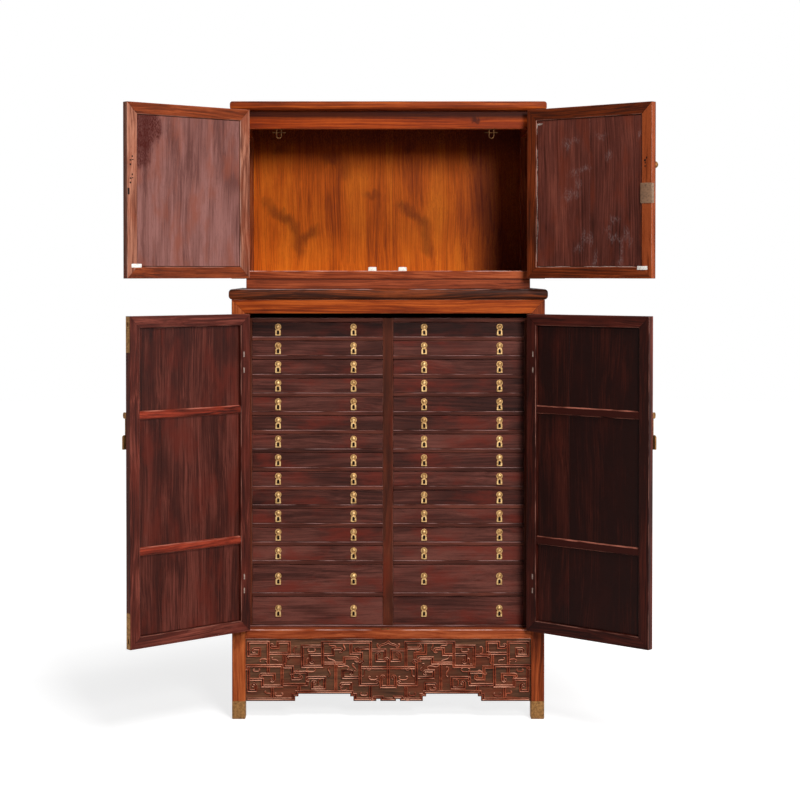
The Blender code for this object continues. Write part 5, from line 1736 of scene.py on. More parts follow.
@dataclass
class Drawer:
    """One drawer: its front, its box and two brass pulls.

    Attributes:
        name: Name of its solid and body.
        seed: Number that fixes its grain.
        shift: How far its pulls stand to the right of its middle.
        tone: Lightness step of its front.
    """

    name: str
    seed: int
    shift: float
    tone: float
    length: float = 0.3617
    front: float = 0.014
    wall: float = 0.008
    floor: float = 0.006
    spread: float = 0.2312
    boss: float = 0.010
    drop: Span = (0.019, 0.0025)
    plate: float = 0.017
    slot: Span = (0.0070, 0.0126)

    def pull(self) -> Form:
        """Draw a pull about the middle of its boss, which is turned with a rim, a groove and a dome.

        The pendant's outline is a rectangle with round shoulders that widens a little downwards, and a slot
        is cut through it.

        Returns:
            The pull, standing out towards the front.
        """
        radius = self.boss
        profile = np.array(((0.0, -0.001), (1.0, -0.001), (1.0, 0.0010), (0.94, 0.0019), (0.84, 0.0019),
                            (0.76, 0.0011), (0.70, 0.0011), (0.62, 0.0027), (0.46, 0.0043), (0.24, 0.0052),
                            (0.0, 0.0055)))
        boss = lathe(profile * np.array((radius, -1.0)), segments=16, axis=Axis.DEEP)
        tall, lap = self.drop
        ease = np.array((0.0008, 0.0, 0.0, 0.0008))
        half = np.concatenate((self.plate - ease, self.slot[0] + ease)) / 2
        rise = np.concatenate((tall - ease, self.slot[1] + ease)) / 2
        round_top = np.minimum(half, 0.0048)
        bends = np.stack((round_top, np.minimum(half, 0.0014), np.minimum(half, 0.0014), round_top), -1)
        depth = -np.array((0.0012, 0.0018, 0.0028, 0.0036, 0.0036, 0.0028, 0.0018, 0.0012))
        rings = rounded_outline(rise, half, bends, steps=4)
        rings[..., 1] *= 1.0 - 0.03 * rings[..., :1].sum(-1) / (tall / 2)
        hang = -radius + lap - tall / 2
        neck = boards(((-0.0022, 0.0022), (-0.0030, 0.0010), (hang + tall / 2 - 0.003, -radius * 0.55)),
                      ease=0.0006)
        return join(boss, stacked(rings, depth, Axis.DEEP, hollow=True).moved(z=hang), neck)

    def build(self) -> None:
        """Make and dress the drawer."""
        low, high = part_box(self.name)
        face = high.y - self.length
        middle, tall = (low.x + high.x) / 2, high.z - low.z
        front = boards(((low.x, high.x), (face, face + self.front), (low.z, high.z)), ease=0.0011)
        make_piece(f"{self.name}_front", front.grained(Axis.ACROSS, self.seed, self.tone), DRAWER_WOOD,
                   (self.name,), body=self.name)
        inner = (face + self.front, high.y)
        across = (low.x + self.wall, high.x - self.wall)
        sides = [((low.x, low.x + self.wall), inner, (low.z, high.z)),
                 ((high.x - self.wall, high.x), inner, (low.z, high.z))]
        ends = [(across, (high.y - self.wall, high.y), (low.z + self.floor, high.z)),
                (across, inner, (low.z, low.z + self.floor))]
        box = join(boards(sides, ease=0.0008).grained(Axis.DEEP, self.seed + 1),
                   boards(ends, ease=0.0008).grained(Axis.ACROSS, self.seed + 2))
        make_piece(f"{self.name}_box", box, LINING_WOOD, body=self.name)
        level = low.z + tall / 2 + (2 * self.boss + self.drop[0] - self.drop[1]) / 2 - self.boss
        pull = self.pull()
        places = [middle + self.shift + hand * self.spread / 2 for hand in (-1, 1)]
        pulls = join(*[pull.moved(place, face, level) for place in places])
        make_piece(f"{self.name}_pulls", pulls, BRASS, smooth=45.0, body=self.name)
        # painted shade: a dark patch on the front behind each pendant's slot, so that the slot reads as a
        # dark hole
        under = level - self.boss + self.drop[1] - self.drop[0]
        shadow_patches = boards([((place - 0.0060, place + 0.0060), (face - 0.0003, face + 0.0004),
                        (under + 0.002, under + 0.017)) for place in places], ease=0.0002, worn_and_sheen=())
        make_piece(f"{self.name}_slot_beds", shadow_patches.grained(Axis.UPRIGHT, self.seed + 3, tone=-0.6), SCAR_AND_SHADE_WOOD,
                   body=self.name)


@dataclass
class HatChest:
    """Fixed pieces of the hat chest: bottom frame on its plinth, top rail, back, top, clips and catches.

    Attributes:
        plan: Shared sizes.
    """

    plan: Plan
    floor: float = 0.024
    rim: float = 0.040
    sunk: float = 0.003
    tongue: float = 0.003
    plinth: tuple[float, float, float] = (0.031, 0.002, 0.028)
    rail: tuple[float, float] = (0.055, 0.026)
    overhang: float = 0.004
    clips: Span = (-0.3328, 0.3150)
    catches: Span = (-0.0484, 0.0437)

    def bottom(self) -> None:
        """Make the framed bottom and the plinth."""
        plan = self.plan
        half, high = plan.half_fit, plan.hat_low + self.floor
        deep = (plan.front + plan.stop, plan.back_inner - plan.joint)
        ease = 0.0016
        section = np.array(((ease, -plan.hat_low), (0.0, -plan.hat_low - ease), (0.0, -high + ease),
                            (ease, -high), (self.rim - ease, -high), (self.rim, -high + ease),
                            (self.rim, -plan.hat_low)))
        rim = framed((-half, half), deep, section, 71, worn_and_sheen=(2, 4), flat=True)
        make_piece("hat_bottom_frame", rim, LEDGE_WOOD, ("hat_floor",), smooth=35.0)
        edge = self.rim - self.tongue
        cuts = np.linspace(deep[0] + edge, deep[1] - edge, 4)
        panel = boards([((-half + edge, half - edge), pair, (plan.hat_low + 0.004, high - self.sunk))
                        for pair in zip(cuts, cuts[1:])], ease=0.0006)
        make_piece("hat_bottom_boards", panel.grained(Axis.ACROSS, 73, tone=-0.6), END_WOOD)
        tall, back, wall = self.plinth
        low = plan.hat_low - tall
        foot = np.array(((0.0, -low - 0.001), (0.0, -plan.hat_low + 0.005), (0.0, -plan.hat_low),
                         (wall, -plan.hat_low), (wall, -low), (0.001, -low)))
        stand = framed((-half + back, half - back), (deep[0] + back, deep[1] - back), foot, 74, flat=True)
        # painted shadow: the plinth's top edge, under the overhang of the bottom frame, is darkened
        darkening = -1.5 * (stand.points[:, 2] > plan.hat_low - 0.001)
        make_piece("hat_plinth", stand.toned(darkening), PLINTH_WOOD)

    def clip(self, x: float) -> Form:
        """Draw a spring clip under the top rail: a strip bent to a U, with its foot and its cross pin.

        Args:
            x: Place along the width.

        Returns:
            The clip.
        """
        plan = self.plan
        under = plan.hat_high - self.rail[0]
        turn = np.linspace(math.pi, math.tau, 11)
        bow = np.stack((0.0072 * np.cos(turn), under - 0.0205 + 0.0072 * np.sin(turn)), -1)
        path = np.concatenate((((-0.0072, under + 0.0004),), bow, ((0.0072, under + 0.0004),)))
        strip = ((-0.0011, 0.0), (-0.0011, 0.007), (0.0011, 0.007), (0.0011, 0.0))
        pin = lathe(((0.0, -0.021), (0.0011, -0.021), (0.0014, -0.0195), (0.0014, 0.0195), (0.0011, 0.021),
                     (0.0, 0.021)), segments=8, axis=Axis.ACROSS)
        depth = plan.front + plan.stop + self.rail[1] / 2
        foot = boards(((-0.016, 0.016), (depth - 0.007, depth + 0.007), (under - 0.0012, under)), ease=0.0004)
        return join(ribbon(path, strip, depth + 0.0035), pin.moved(y=depth, z=under - 0.0105), foot).moved(x)

    def build(self) -> None:
        """Make and dress the pieces."""
        plan = self.plan
        self.bottom()
        stop = plan.front + plan.stop
        tall, deep = self.rail
        rail = boards(((-plan.half_fit, plan.half_fit), (stop, stop + deep),
                       (plan.hat_high - tall, plan.hat_high)), ease=0.0012)
        make_piece("hat_top_rail", rail.grained(Axis.ACROSS, 76), HAT_RAIL_WOOD, ("hat_front_top_rail",))
        back = BackPanel(plan, "hat_back", "hat_back_panel", (plan.hat_low, plan.hat_high), cuts=(0.52,),
                         seed=77, rear_tone=-0.9)
        back.build(AMBER_WOOD, END_WOOD)
        edge = (plan.front - self.overhang, plan.rear + self.overhang)
        top = TopBoard("hat_top", "hat_top_board", plan.half_width + self.overhang, edge, plan.hat_cap,
                       bend=0.009, seed=80)
        top.build(RAIL_WOOD)
        make_piece("hat_clips", join(*[self.clip(x) for x in self.clips]), CLIP_BRASS, smooth=40.0)
        shelf = plan.hat_low + self.floor
        rings = rounded_outline(np.array((0.0125, 0.0130, 0.0125, 0.0100)),
                                np.array((0.009, 0.0095, 0.0090, 0.0070)),
                                np.array((0.002, 0.0025, 0.0025, 0.002)))
        block = stacked(rings, shelf + np.array((-0.0005, 0.0008, 0.0100, 0.0118)))
        catches = join(*[block.moved(x, stop + 0.0115) for x in self.catches])
        make_piece("hat_catches", catches, PALE_CATCH, smooth=40.0)


@dataclass
class Door:
    """One door, drawn closed as a left door about its hinge axis: a mitred frame, a panel and its fittings.

    Attributes:
        plan: Shared sizes.
        tier: Tier that it closes.
        side: Hand of the door.
        joints: Joints of the panel's boards, measured from the hinge axis.
        seed: Number that fixes its grain.
        shade: Painted light or shade on its inner face, as a lightness step: lighter on a face that the lamps
            reach, darker on one that stands in shade.
        stiles: Lightness steps of its hinge stile and its free stile over that of the rest.
        panel_thick: Thickness of the panel of a lower and of an upper door.
        hinge_inset: Distance of the hinges' middles from the ends of a lower and of an upper door.
    """

    plan: Plan
    tier: Tier
    side: Side
    joints: tuple[float, ...]
    seed: int
    shade: float = 0.0
    stiles: Span = (0.0, 0.0)
    hinge_edge: float = 0.0005
    free_edge: float = 0.4335
    face: float = 0.0035
    inner: float = 0.0255
    member: float = 0.034
    arris: float = 0.0016
    panel_face: float = 0.0065
    panel_thick: Span = (0.009, 0.016)
    outer_skin: float = 0.0030
    hinge_inset: Span = (0.147, 0.090)
    groove: float = 0.0018
    battens: Span = (0.2785, 0.6735)
    batten: float = 0.025
    staple: tuple[float, float] = (0.020, 0.6725)
    staple_out: float = 0.028
    knob: tuple[float, float] = (0.016, 0.329)
    bolt: tuple[float, float, float] = (0.426, 0.0145, 0.008)
    bolt_length: float = 0.085
    bolt_rest: float = 0.002
    thumb: tuple[float, float] = (0.030, 0.0034)
    hinges: HingeSet = field(init=False)

    def __post_init__(self) -> None:
        """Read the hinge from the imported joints."""
        joint = next(item for item in frame["joints"] if item["name"] == f"{self.label}_hinge")
        inset = self.hinge_inset[self.tier is Tier.UPPER]
        low, high = self.z_span
        opening = math.radians(-joint["range_deg"][0])
        self.hinges = HingeSet(self.side, tuple(joint["pos_m"][:2]), opening, (low + inset, high - inset))

    @property
    def label(self) -> str:
        """Name of the door's body."""
        return f"{self.tier.value}_{self.side.name.lower()}_door"

    @property
    def z_span(self) -> Span:
        """Height limits of the door."""
        return self.plan.lower_door if self.tier is Tier.LOWER else self.plan.upper_door

    @property
    def back(self) -> float:
        """Depth of the panel's inner face."""
        return self.panel_face + self.panel_thick[self.tier is Tier.UPPER]

    @property
    def bolted(self) -> bool:
        """Whether the door carries the flush bolts."""
        return self.tier is Tier.LOWER and self.side is Side.LEFT

    def add(self, name: str, form: Form, finish: Finish, stands_for: Sequence[str] = (),
            smooth: float | None = 40.0, body: str = "") -> None:
        """Hang a form drawn in the closed door and make it a piece.

        Args:
            name: Name after the door's own.
            form: The form.
            finish: Its finish.
            stands_for: Solids that it takes the place of.
            smooth: Shading angle.
            body: Body that it rides on, the door where none is given.
        """
        make_piece(f"{self.label}_{name}", self.hinges.place(form, True), finish, stands_for, smooth,
                   body or self.label)

    def frame_section(self) -> Array:
        """Draw a member's section, its arrises eased.

        Returns:
            Distance in from the outer edge and depth of every point.
        """
        edge, ease, wide = 0.0008, self.arris, self.member
        return np.array(((edge, self.face), (wide - ease, self.face), (wide, self.face + ease),
                         (wide, self.inner - ease), (wide - ease, self.inner), (edge, self.inner),
                         (0.0, self.inner - edge), (0.0, self.face + edge)))

    def free_stile(self) -> tuple[Form, Form, Form]:
        """Build the free stile of the bolted door in three runs, the two ends with a channel for a bolt.

        Returns:
            The runs.
        """
        low, high = self.z_span
        inset, depth = self.frame_section().T
        half = self.bolt[2] / 2 + 0.0004
        bed = self.free_edge - self.bolt[0] + half
        channel = np.array(((0.0, self.bolt[1] + half), (bed, self.bolt[1] + half),
                            (bed, self.bolt[1] - half), (0.0, self.bolt[1] - half)))
        cut = np.insert(np.stack((inset, depth), -1), 7, channel, axis=0)
        reach = self.bolt_rest + self.bolt_length + 0.002
        plain = np.stack((self.free_edge - inset, depth), -1)
        notched = np.stack((self.free_edge - cut[:, 0], cut[:, 1]), -1)
        return (extruded(plain, low + reach, high - reach, Axis.UPRIGHT, worn_and_sheen=(1, 3)),
                extruded(notched, low + cut[:, 0] + MITRE_GAP, low + reach, Axis.UPRIGHT, worn_and_sheen=(1, 3)),
                extruded(notched, high - reach, high - cut[:, 0] - MITRE_GAP, Axis.UPRIGHT, worn_and_sheen=(1, 3)))

    def toned_inside(self, form: Form, step: ArrayLike) -> Form:
        """Change the lightness of the half of a form that lies towards the inner face, where the door's
        painted light or shade goes.

        Args:
            form: Part of the door.
            step: Lightness step of the inner half, the same for all points or one for each.

        Returns:
            The part with its new tone.
        """
        inside = form.points[:, 1] > (self.face + self.inner) / 2
        return form.toned(step * inside)

    def build_frame(self) -> None:
        """Make the frame and the panel."""
        low, high = self.z_span
        x_span, section = (self.hinge_edge, self.free_edge), self.frame_section()
        wood = LOWER_FRAME_WOOD if self.tier is Tier.LOWER else UPPER_FRAME_WOOD
        rails, stile, plain = (mitred(x_span, self.z_span, section, members, worn_and_sheen=(1, 3, 5), gap=0.0005)
                               for members in ((0, 1), (2,), (3,)))
        rails = rails.grained(Axis.ACROSS, self.seed)
        head = 0.35 * (rails.points[:, 2] > (low + high) / 2) if self.tier is Tier.UPPER else 0.0
        rails = self.toned_inside(rails, self.shade - head)
        hung, free = (self.shade + step for step in self.stiles)
        runs = [run.grained(Axis.UPRIGHT, self.seed + 2, spread=0.1)
                for run in (self.free_stile() if self.bolted else (plain,))]
        stile = stile.grained(Axis.UPRIGHT, self.seed + 1, spread=0.1)
        stiles = join(self.toned_inside(stile, hung), *[self.toned_inside(run, free) for run in runs])
        self.add("rails", rails, UPPER_RAIL_WOOD if self.tier is Tier.UPPER else wood,
                 (f"{self.label}_frame",), smooth=None)
        warm = self.tier is Tier.UPPER and self.side is Side.RIGHT
        self.add("stiles", stiles, UPPER_RAIL_WOOD if warm else wood, smooth=None)
        gap = self.member + self.groove
        cuts = np.array((self.hinge_edge + gap, *self.joints, self.free_edge - gap))
        tall = (low + gap, high - gap)
        skin = self.panel_face + (self.outer_skin if self.tier is Tier.UPPER else 0.0)
        pairs = tuple(zip(cuts, cuts[1:]))
        planks = boards([(pair, (skin, self.back), tall) for pair in pairs], ease=0.0007, worn_and_sheen=())
        tongue = boards(((cuts[0] - 0.006, cuts[-1] + 0.006),
                         (self.panel_face + 0.002, self.panel_face + 0.007),
                         (tall[0] - 0.006, tall[1] + 0.006)), ease=0.0004)
        panel = self.toned_inside(join(planks, tongue).grained(Axis.UPRIGHT, self.seed + 3, spread=0.12), self.shade)
        upper = UPPER_PANEL_WOOD if self.side is Side.LEFT else SCUFFED_WOOD
        self.add("boards", panel, LOWER_PANEL_WOOD if self.tier is Tier.LOWER else upper,
                 (f"{self.label}_panel",), smooth=None)
        if self.tier is Tier.UPPER:
            deep = (self.panel_face, skin - 0.0002)
            outer = boards([(pair, deep, tall) for pair in pairs], ease=0.0007, worn_and_sheen=())
            outer = outer.grained(Axis.UPRIGHT, self.seed + 6, spread=0.12)
            self.add("outer_boards", outer, OUTER_PANEL_WOOD, smooth=None)

    def build_battens(self) -> None:
        """Make the two battens behind a lower panel, each with a chamfered crown."""
        low = self.z_span[0]
        start, end = self.hinge_edge + self.member - 0.003, self.free_edge - self.member + 0.003
        crown, slope = self.inner - 0.002, 0.003
        made = []
        for level in self.battens:
            under, over = low + level - self.batten / 2, low + level + self.batten / 2
            outline = ((self.back, under), (self.back, over), (crown - 0.0006, over - slope),
                       (crown, over - slope - 0.001), (crown, under + slope + 0.001),
                       (crown - 0.0006, under + slope))
            made.append(extruded(outline, start, end, Axis.ACROSS, worn_and_sheen=(1, 5)))
        # painted shade: the battens take 2.6 times the door's inner shade, so those of the lower right door
        # are dark
        battens = join(*made).grained(Axis.ACROSS, self.seed + 5, 2.6 * self.shade)
        self.add("battens", battens, BATTEN_WOOD, smooth=None)

    def build_staple(self) -> None:
        """Make the lock staple of a lower door, and the pendant that hangs from its pin."""
        x, z = self.free_edge - self.staple[0], self.z_span[0] + self.staple[1]
        plate = stacked(rounded_outline(np.array((0.030, 0.030, 0.0293)), np.array((0.013, 0.013, 0.0123)),
                                        np.array((0.004, 0.004, 0.0035))),
                        self.face + np.array((0.0005, -0.0010, -0.0015)), Axis.DEEP).moved(x, 0.0, z)
        turn = np.linspace(-math.pi / 2, math.pi / 2, 7)
        tip = np.stack((self.face - self.staple_out - 0.005 * np.cos(turn) ** 0.8,
                        z + 0.009 * np.sin(turn)), -1)
        outline = np.concatenate((((self.face, z + 0.009), (self.face, z - 0.009)), tip))
        lugs = join(*[extruded(outline, x + hand * 0.0053, x + hand * 0.0083, Axis.ACROSS)
                      for hand in (-1, 1)])
        pin = lathe(((0.0, -0.0095), (0.0014, -0.0095), (0.002, -0.0088), (0.002, 0.0088), (0.0014, 0.0095),
                     (0.0, 0.0095)), segments=12, axis=Axis.ACROSS).moved(x, self.face - self.staple_out, z)
        places = [(x + across, self.face - 0.0015, z + rise) for across in (-0.008, 0.008)
                  for rise in (-0.024, 0.024)]
        heads = pin_heads(places, radius=0.002, rise=0.0008, axis=Axis.DEEP, outward=-1.0)
        self.add("staple", join(plate, lugs, pin, heads), DULL_BRASS)
        bore = np.array((0.0023, 0.0023, 0.0046, 0.005, 0.005, 0.0046))
        eye = stacked(rounded_outline(bore, bore, bore * ROUND, steps=4),
                      np.array((0.005, -0.005, -0.005, -0.0046, 0.0046, 0.005)), Axis.ACROSS, hollow=True)
        strap = boards(((-0.004, 0.004), (-0.0015, 0.0015), (-0.058, -0.0042)), ease=0.0006)
        rings = rounded_outline(np.array((0.0202, 0.021, 0.021, 0.0202)),
                                np.array((0.0122, 0.013, 0.013, 0.0122)),
                                np.tile((0.007, 0.0015, 0.0015, 0.007), (4, 1)))
        tail = stacked(rings, np.array((-0.003, -0.0022, 0.0022, 0.003)), Axis.DEEP).moved(z=-0.057 - 0.021)
        hung = join(eye, strap, tail).moved(x, self.face - self.staple_out, z)
        latch = f"{self.tier.value}_{self.side.name.lower()}_latch"
        self.add("latch", hung, DULL_BRASS, (f"{self.label}_pendant",), body=latch)

    def build_bolts(self) -> None:
        """Make the flush bolts in the free edge, and the plates that cover their channels."""
        x, y, size = self.bolt
        plates, half = [], size / 2
        for name, end, towards in (("upper", self.z_span[1], 1.0), ("lower", self.z_span[0], -1.0)):
            tip = end - towards * self.bolt_rest
            thumb = tip - towards * self.thumb[0]
            bar = boards(((x - half, x + half), (y - half, y + half),
                          (tip, tip - towards * self.bolt_length)), ease=0.0006)
            grip = boards(((x, self.free_edge - 0.0003), (y - self.thumb[1] / 2, y + self.thumb[1] / 2),
                           (thumb - self.thumb[1] / 2, thumb + self.thumb[1] / 2)), ease=0.0005)
            self.add(f"{name}_bolt", join(bar, grip), BRASS, (f"{name}_flush_bolt",), body=f"{name}_bolt")
            slot = thumb + towards * 0.006
            middle = end - towards * 0.0530
            size_y = np.array((0.0095, 0.0095, 0.0024, 0.0024))
            size_z = np.array((0.0520, 0.0520, 0.0090, 0.0090))
            rings = rounded_outline(size_y, size_z, np.array((0.002, 0.002, 0.0023, 0.0023)))
            rings[2:, :, 1] += slot - middle
            plate = stacked(rings, self.free_edge + np.array((-0.0002, 0.0004, 0.0004, -0.0002)), Axis.ACROSS,
                            hollow=True)
            places = [(self.free_edge + 0.0003, y, middle + offset) for offset in (-0.042, 0.046)]
            screws = pin_heads(places, radius=0.0028, rise=0.0003, axis=Axis.ACROSS, outward=1.0, segments=10)
            plates += [plate.moved(0.0, y, middle), screws]
        self.add("bolt_plates", join(*plates), DULL_BRASS)

    def patch(self, x: float, z: float, wide: float, tall: float, depth: float, rise: float = 0.0005,
              bend: float = 0.3) -> Form:
        """Draw a low mark on an inner face: a flat disc with four round corners and a chamfered rim.

        Args:
            x: Its middle, from the hinge axis.
            z: Its middle in height.
            wide: Its width.
            tall: Its height.
            depth: Depth of the face that it lies on.
            rise: How far it stands out.
            bend: Radius of its corners, as a share of its smaller half size.

        Returns:
            The mark.
        """
        chamfer = np.array((0.0, 0.0, min(rise, 0.2 * wide, 0.2 * tall)))
        rings = rounded_outline(tall / 2 - chamfer, wide / 2 - chamfer,
                                bend * min(wide, tall) / 2 * np.array((1.0, 1.0, 0.8)), steps=4)
        return stacked(rings, depth + np.array((-0.0004, 0.6 * rise, rise)), Axis.DEEP).moved(x, 0.0, z)

    def strokes(self, places: Sequence[tuple[float, float, float, float, float]], depth: float) -> Form:
        """Draw thin rubbed strokes on an inner face, each tapering to both ends and bowed to one side.

        A stroke runs straight from end to end and leaves that line by its bow times a sine; its width is the
        sine of the share run and a small part more, by an uneven share.

        Args:
            places: For each stroke the place of its first end from the hinge axis and above the door's
                foot, its run in both directions, and its width.
            depth: Depth of the face.

        Returns:
            The strokes.
        """
        dice = np.random.default_rng(self.seed + 7)
        run = np.linspace(0.0, 1.0, 13)
        made = []
        for x, z, across, up, width in places:
            bow = 0.06 * np.sin(math.pi * run) * dice.uniform(-1.0, 1.0)
            path = np.stack((x + across * run - up * bow, self.z_span[0] + z + up * run + across * bow), -1)
            share = (0.25 + np.sin(math.pi * run)) * dice.uniform(0.5, 1.0, len(run))
            half = width / 2
            section = ((-half, 0.0003), (-half, -0.0002), (half, -0.0002), (half, 0.0003))
            made.append(ribbon(path, section, depth, share))
        return join(*made)

    def build_marks(self) -> None:
        """Make the marks on the inner face: pin ends on a lower door, scars and putty on an upper one."""
        low, high = self.z_span
        if self.tier is Tier.LOWER:
            levels = (low + 0.125, low + 0.167, high - 0.121, high - 0.169)
            ends = [self.patch(0.0235, level, wide=0.0040, tall=0.0160, depth=self.inner) for level in levels]
            self.add("pin_ends", join(*ends), PIN_IRON)
            return
        strike = low + (0.037 if self.side is Side.LEFT else 0.0305)
        bar = self.patch(self.free_edge - 0.031, strike, wide=0.034, tall=0.0108, depth=self.inner,
                         rise=0.0008)
        self.add("strike_bar", bar, PALE_CATCH)
        if self.side is Side.LEFT:
            slot = self.patch(self.free_edge - 0.0045, low + 0.2510, wide=0.0070, tall=0.0190,
                              depth=self.inner)
            scars = join(slot, self.scars(0.419, 0.337), self.scars(0.419, 0.285))
            self.add("strike_scars", scars, SCAR_AND_SHADE_WOOD)
            return
        self.build_lock()
        gap = self.member + self.groove / 2
        start, end, over = self.hinge_edge + gap, self.free_edge - gap, high - low
        edge = [(start, z, 0.0, min(0.075, over - 0.07 - z), 0.0016)
                for z in np.arange(0.050, over - 0.06, 0.066)]
        foot = [(x, gap, 0.060, 0.0, 0.0022) for x in np.arange(start + 0.004, end - 0.05, 0.055)]
        chips = [(start - 0.001, over - 0.046, 0.022, 0.002, 0.0060),
                 (start, over - 0.060, 0.0, 0.016, 0.0034), (start, 0.322, 0.0, 0.018, 0.0040),
                 (start, 0.372, 0.0, 0.016, 0.0030)]
        self.add("putty", self.strokes(edge + foot + chips, self.inner - 0.0022), PUTTY)
        self.add("strike_scars", self.scars(self.free_edge - 0.020, 0.336), SCAR_AND_SHADE_WOOD)

    def scars(self, x: float, z: float) -> Form:
        """Draw a cluster of five small scars where a catch was screwed on.

        Args:
            x: Its middle, from the hinge axis.
            z: Its middle above the door's foot.

        Returns:
            The scars.
        """
        dice = np.random.default_rng(self.seed + 9)
        places = dice.uniform(-1.0, 1.0, (5, 2)) * np.array((0.0042, 0.0040))
        places[:, 1] += z + np.linspace(-0.012, 0.012, 5)
        sizes = ((0.006, 0.003), (0.004, 0.005), (0.007, 0.004), (0.005, 0.003), (0.004, 0.006))
        return join(*[self.patch(x + across, self.z_span[0] + up, *size, self.inner, rise=0.0003, bend=0.9)
                      for (across, up), size in zip(places, sizes)])

    def build_lock(self) -> None:
        """Make the turned boss on the right upper door and the flush lock case behind it."""
        low = self.z_span[0]
        profile = np.array(((0.0, -0.001), (0.009, -0.001), (0.009, 0.001), (0.0078, 0.0022),
                            (0.005, 0.0040), (0.0048, 0.0150), (0.0062, 0.0185), (0.0096, 0.0215),
                            (0.010, 0.0235), (0.0086, 0.0262), (0.005, 0.0278), (0.0, 0.028)))
        boss = lathe(profile * np.array((1.0, -1.0)), segments=24, axis=Axis.DEEP)
        self.add("boss", boss.moved(self.free_edge - self.knob[0], self.face, low + self.knob[1]), DULL_BRASS)
        case = self.patch(self.free_edge - 0.0190, low + 0.246, wide=0.0370, tall=0.0590, depth=self.inner,
                          rise=0.0016, bend=0.1)
        edge = boards(((self.free_edge - 0.0010, self.free_edge + 0.0006),
                       (self.inner - 0.0130, self.inner + 0.0012), (low + 0.2170, low + 0.2750)), ease=0.0004)
        self.add("lock_case", join(case, edge), CASE_BRASS)

    def build(self) -> None:
        """Make and dress the door."""
        self.build_frame()
        self.add("hinge_leaves", self.hinge_leaves(), BRASS)
        self.build_marks()
        if self.tier is Tier.LOWER:
            self.build_battens()
            self.build_staple()
        if self.bolted:
            self.build_bolts()

    def hinge_leaves(self) -> Form:
        """Draw the door's halves of its hinges."""
        return join(*[self.hinges.leaf_form(level, True) for level in self.hinges.levels])


@dataclass(frozen=True)
class Lamp:
    """A soft studio lamp: its place, the place it looks at, its size and its power."""

    name: str
    place: tuple[float, float, float]
    aim: tuple[float, float, float]
    size: Span
    power: float

    def build(self) -> None:
        """Hang the lamp."""
        data = bpy.data.lights.new(self.name, "AREA")
        data.shape, data.size, data.size_y = "RECTANGLE", *self.size
        data.energy = self.power
        lamp = bpy.data.objects.new(self.name, data)
        lamp.location = self.place
        away = np.array(self.place) - np.array(self.aim)
        flat = float(np.hypot(away[0], away[1]))
        lamp.rotation_euler = (math.atan2(flat, away[2]), 0.0, math.atan2(away[0], -away[1]))
        bpy.context.scene.collection.objects.link(lamp)


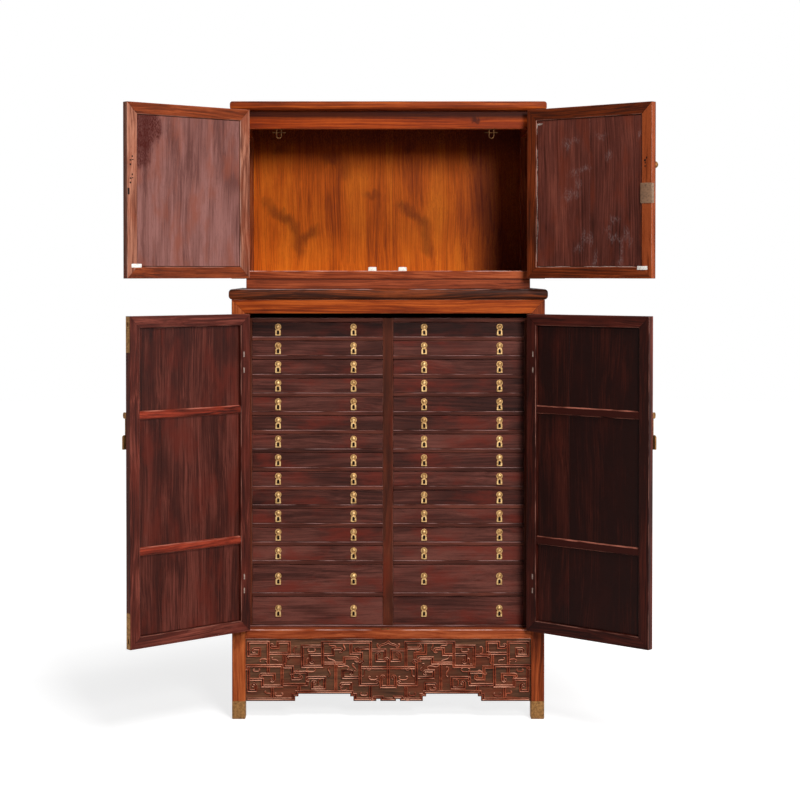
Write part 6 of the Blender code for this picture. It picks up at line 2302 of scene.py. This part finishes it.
@dataclass
class Studio:
    """Pale floor, white surround, soft lamps and the camera.

    Attributes:
        plan: Shared sizes.
    """

    plan: Plan
    distance: float = 5.4616
    across: float = -0.0630
    height: float = 1.3613
    tilt: float = 1.0
    lens: float = 80.97
    sensor: float = 36.0
    shift: Span = (0.0406, -0.1200)
    view_reach: float = 60.0
    floor_radius: float = 14.0
    floor_sides: int = 96
    floor_albedo: float = 0.36
    floor_glow: Span = (0.79, 1.0)
    glow_reach: Span = (0.8, 1.8)
    ambient: float = 0.03

    def seen(self, sheet: NodeSheet) -> Socket:
        """Tell camera, mirror and see-through rays from those that only carry light.

        Args:
            sheet: Nodes to add to.

        Returns:
            One for the first kind, zero for the rest.
        """
        rays = sheet.add("LightPath").outputs
        either = rays["Is Camera Ray"]
        for name in ("Is Glossy Ray", "Is Transmission Ray"):
            either = sheet.math("MAXIMUM", either, rays[name])
        return either

    def build_floor(self) -> None:
        """Lay a round floor whose own glow, for seen rays only, rises outwards to white."""
        turn = np.linspace(0.0, math.tau, self.floor_sides, endpoint=False)
        ring = self.floor_radius * np.stack((np.cos(turn), np.sin(turn), 0.0 * turn), -1)
        mesh = bpy.data.meshes.new("studio_floor")
        mesh.from_pydata(ring.tolist(), [], [list(range(self.floor_sides))])
        sheet = NodeSheet(bpy.data.materials.new("studio_floor"))
        away = sheet.vector("LENGTH", sheet.vector("MULTIPLY", sheet.place(), (1.0, 1.0, 0.0)),
                            output="Value")
        glow = sheet.spread(away, *self.glow_reach, *self.floor_glow)
        pale = sheet.add("BsdfDiffuse", {"Color": (self.floor_albedo,) * 3 + (1.0,)})
        shine = sheet.add("Emission", {"Strength": sheet.math("MULTIPLY", glow, self.seen(sheet))})
        both = sheet.add("AddShader", {0: pale.outputs[0], 1: shine.outputs[0]})
        sheet.feed(sheet.tree.nodes["Material Output"].inputs["Surface"], both.outputs[0])
        sheet.tree.nodes.remove(sheet.tree.nodes["Principled BSDF"])
        mesh.materials.append(sheet.owner)
        floor = bpy.data.objects.new("studio_floor", mesh)
        bpy.context.scene.collection.objects.link(floor)

    def build_world(self) -> None:
        """Surround the scene with white for seen rays and a weaker even light for the rest."""
        sheet = NodeSheet(bpy.data.worlds.new("studio_world"))
        bpy.context.scene.world = sheet.owner
        white = sheet.tree.nodes["Background"].inputs
        sheet.feed(white["Color"], (255, 255, 255))
        sheet.feed(white["Strength"], sheet.spread(self.seen(sheet), 0.0, 1.0, self.ambient, 1.0))

    def build_camera(self) -> None:
        """Set the camera at the height and distance of the photo, looking a little down."""
        data = bpy.data.cameras.new("studio_camera")
        data.lens, data.sensor_width = self.lens, self.sensor
        data.shift_x, data.shift_y = self.shift
        data.clip_end = self.view_reach
        camera = bpy.data.objects.new("studio_camera", data)
        camera.location = (self.across, self.plan.front - self.distance, self.height)
        camera.rotation_euler = (math.radians(90.0 - self.tilt), 0.0, 0.0)
        bpy.context.scene.collection.objects.link(camera)
        bpy.context.scene.camera = camera

    def build(self) -> None:
        """Set up the studio."""
        self.build_camera()
        self.build_floor()
        self.build_world()
        aim = (0.0, 0.0, 0.95)
        for lamp in (Lamp("front_lamp", (1.80, -6.10, 3.15), (0.0, 0.0, 1.1), size=(1.4, 1.4), power=215.0),
                     Lamp("high_lamp", (2.40, -5.60, 7.60), aim, size=(2.6, 2.6), power=560.0),
                     Lamp("side_lamp", (4.60, -1.50, 1.60), aim, size=(2.4, 2.4), power=70.0),
                     Lamp("rear_lamp", (-1.00, 4.20, 2.80), aim, size=(3.4, 3.4), power=20.0)):
            lamp.build()
        bpy.context.scene.view_settings.view_transform = "Standard"


def main() -> None:
    """Build the cabinet piece by piece and set up the studio."""
    logging.basicConfig(level=logging.INFO, format="%(name)s: %(message)s")
    plan = Plan.read()
    Studio(plan).build()
    # shade paints light or shade on a door's inner face: light on the upper left door, dark on the lower
    # right one
    doors = (Door(plan, Tier.LOWER, Side.LEFT, joints=(0.318,), seed=200, stiles=(-0.35, 0.0)),
             Door(plan, Tier.LOWER, Side.RIGHT, joints=(0.150,), seed=220, shade=-0.68, stiles=(0.0, -0.2)),
             Door(plan, Tier.UPPER, Side.LEFT, joints=(), seed=240, shade=0.3, stiles=(-0.1, 0.2)),
             Door(plan, Tier.UPPER, Side.RIGHT, joints=(0.222,), seed=260, stiles=(-0.35, 0.75)))
    for door in doors:
        EndFrame(plan, door.side, door.tier).build(door.hinges)
        door.build()
    BaseCarcass(plan).build()
    CarvedApron(plan).build()
    names = {side: [f"drawer_{side.name.lower()}_{row:02d}" for row in range(1, 16)] for side in Side}
    DrawerRack(plan, names).build()
    for side, shift, seed in ((Side.LEFT, -0.0053, 300), (Side.RIGHT, 0.0100, 375)):
        for row, name in enumerate(names[side]):
            Drawer(name, seed + 5 * row, shift, DRAWER_TONES[side][row]).build()
    HatChest(plan).build()


if __name__ == "__main__":
    main()
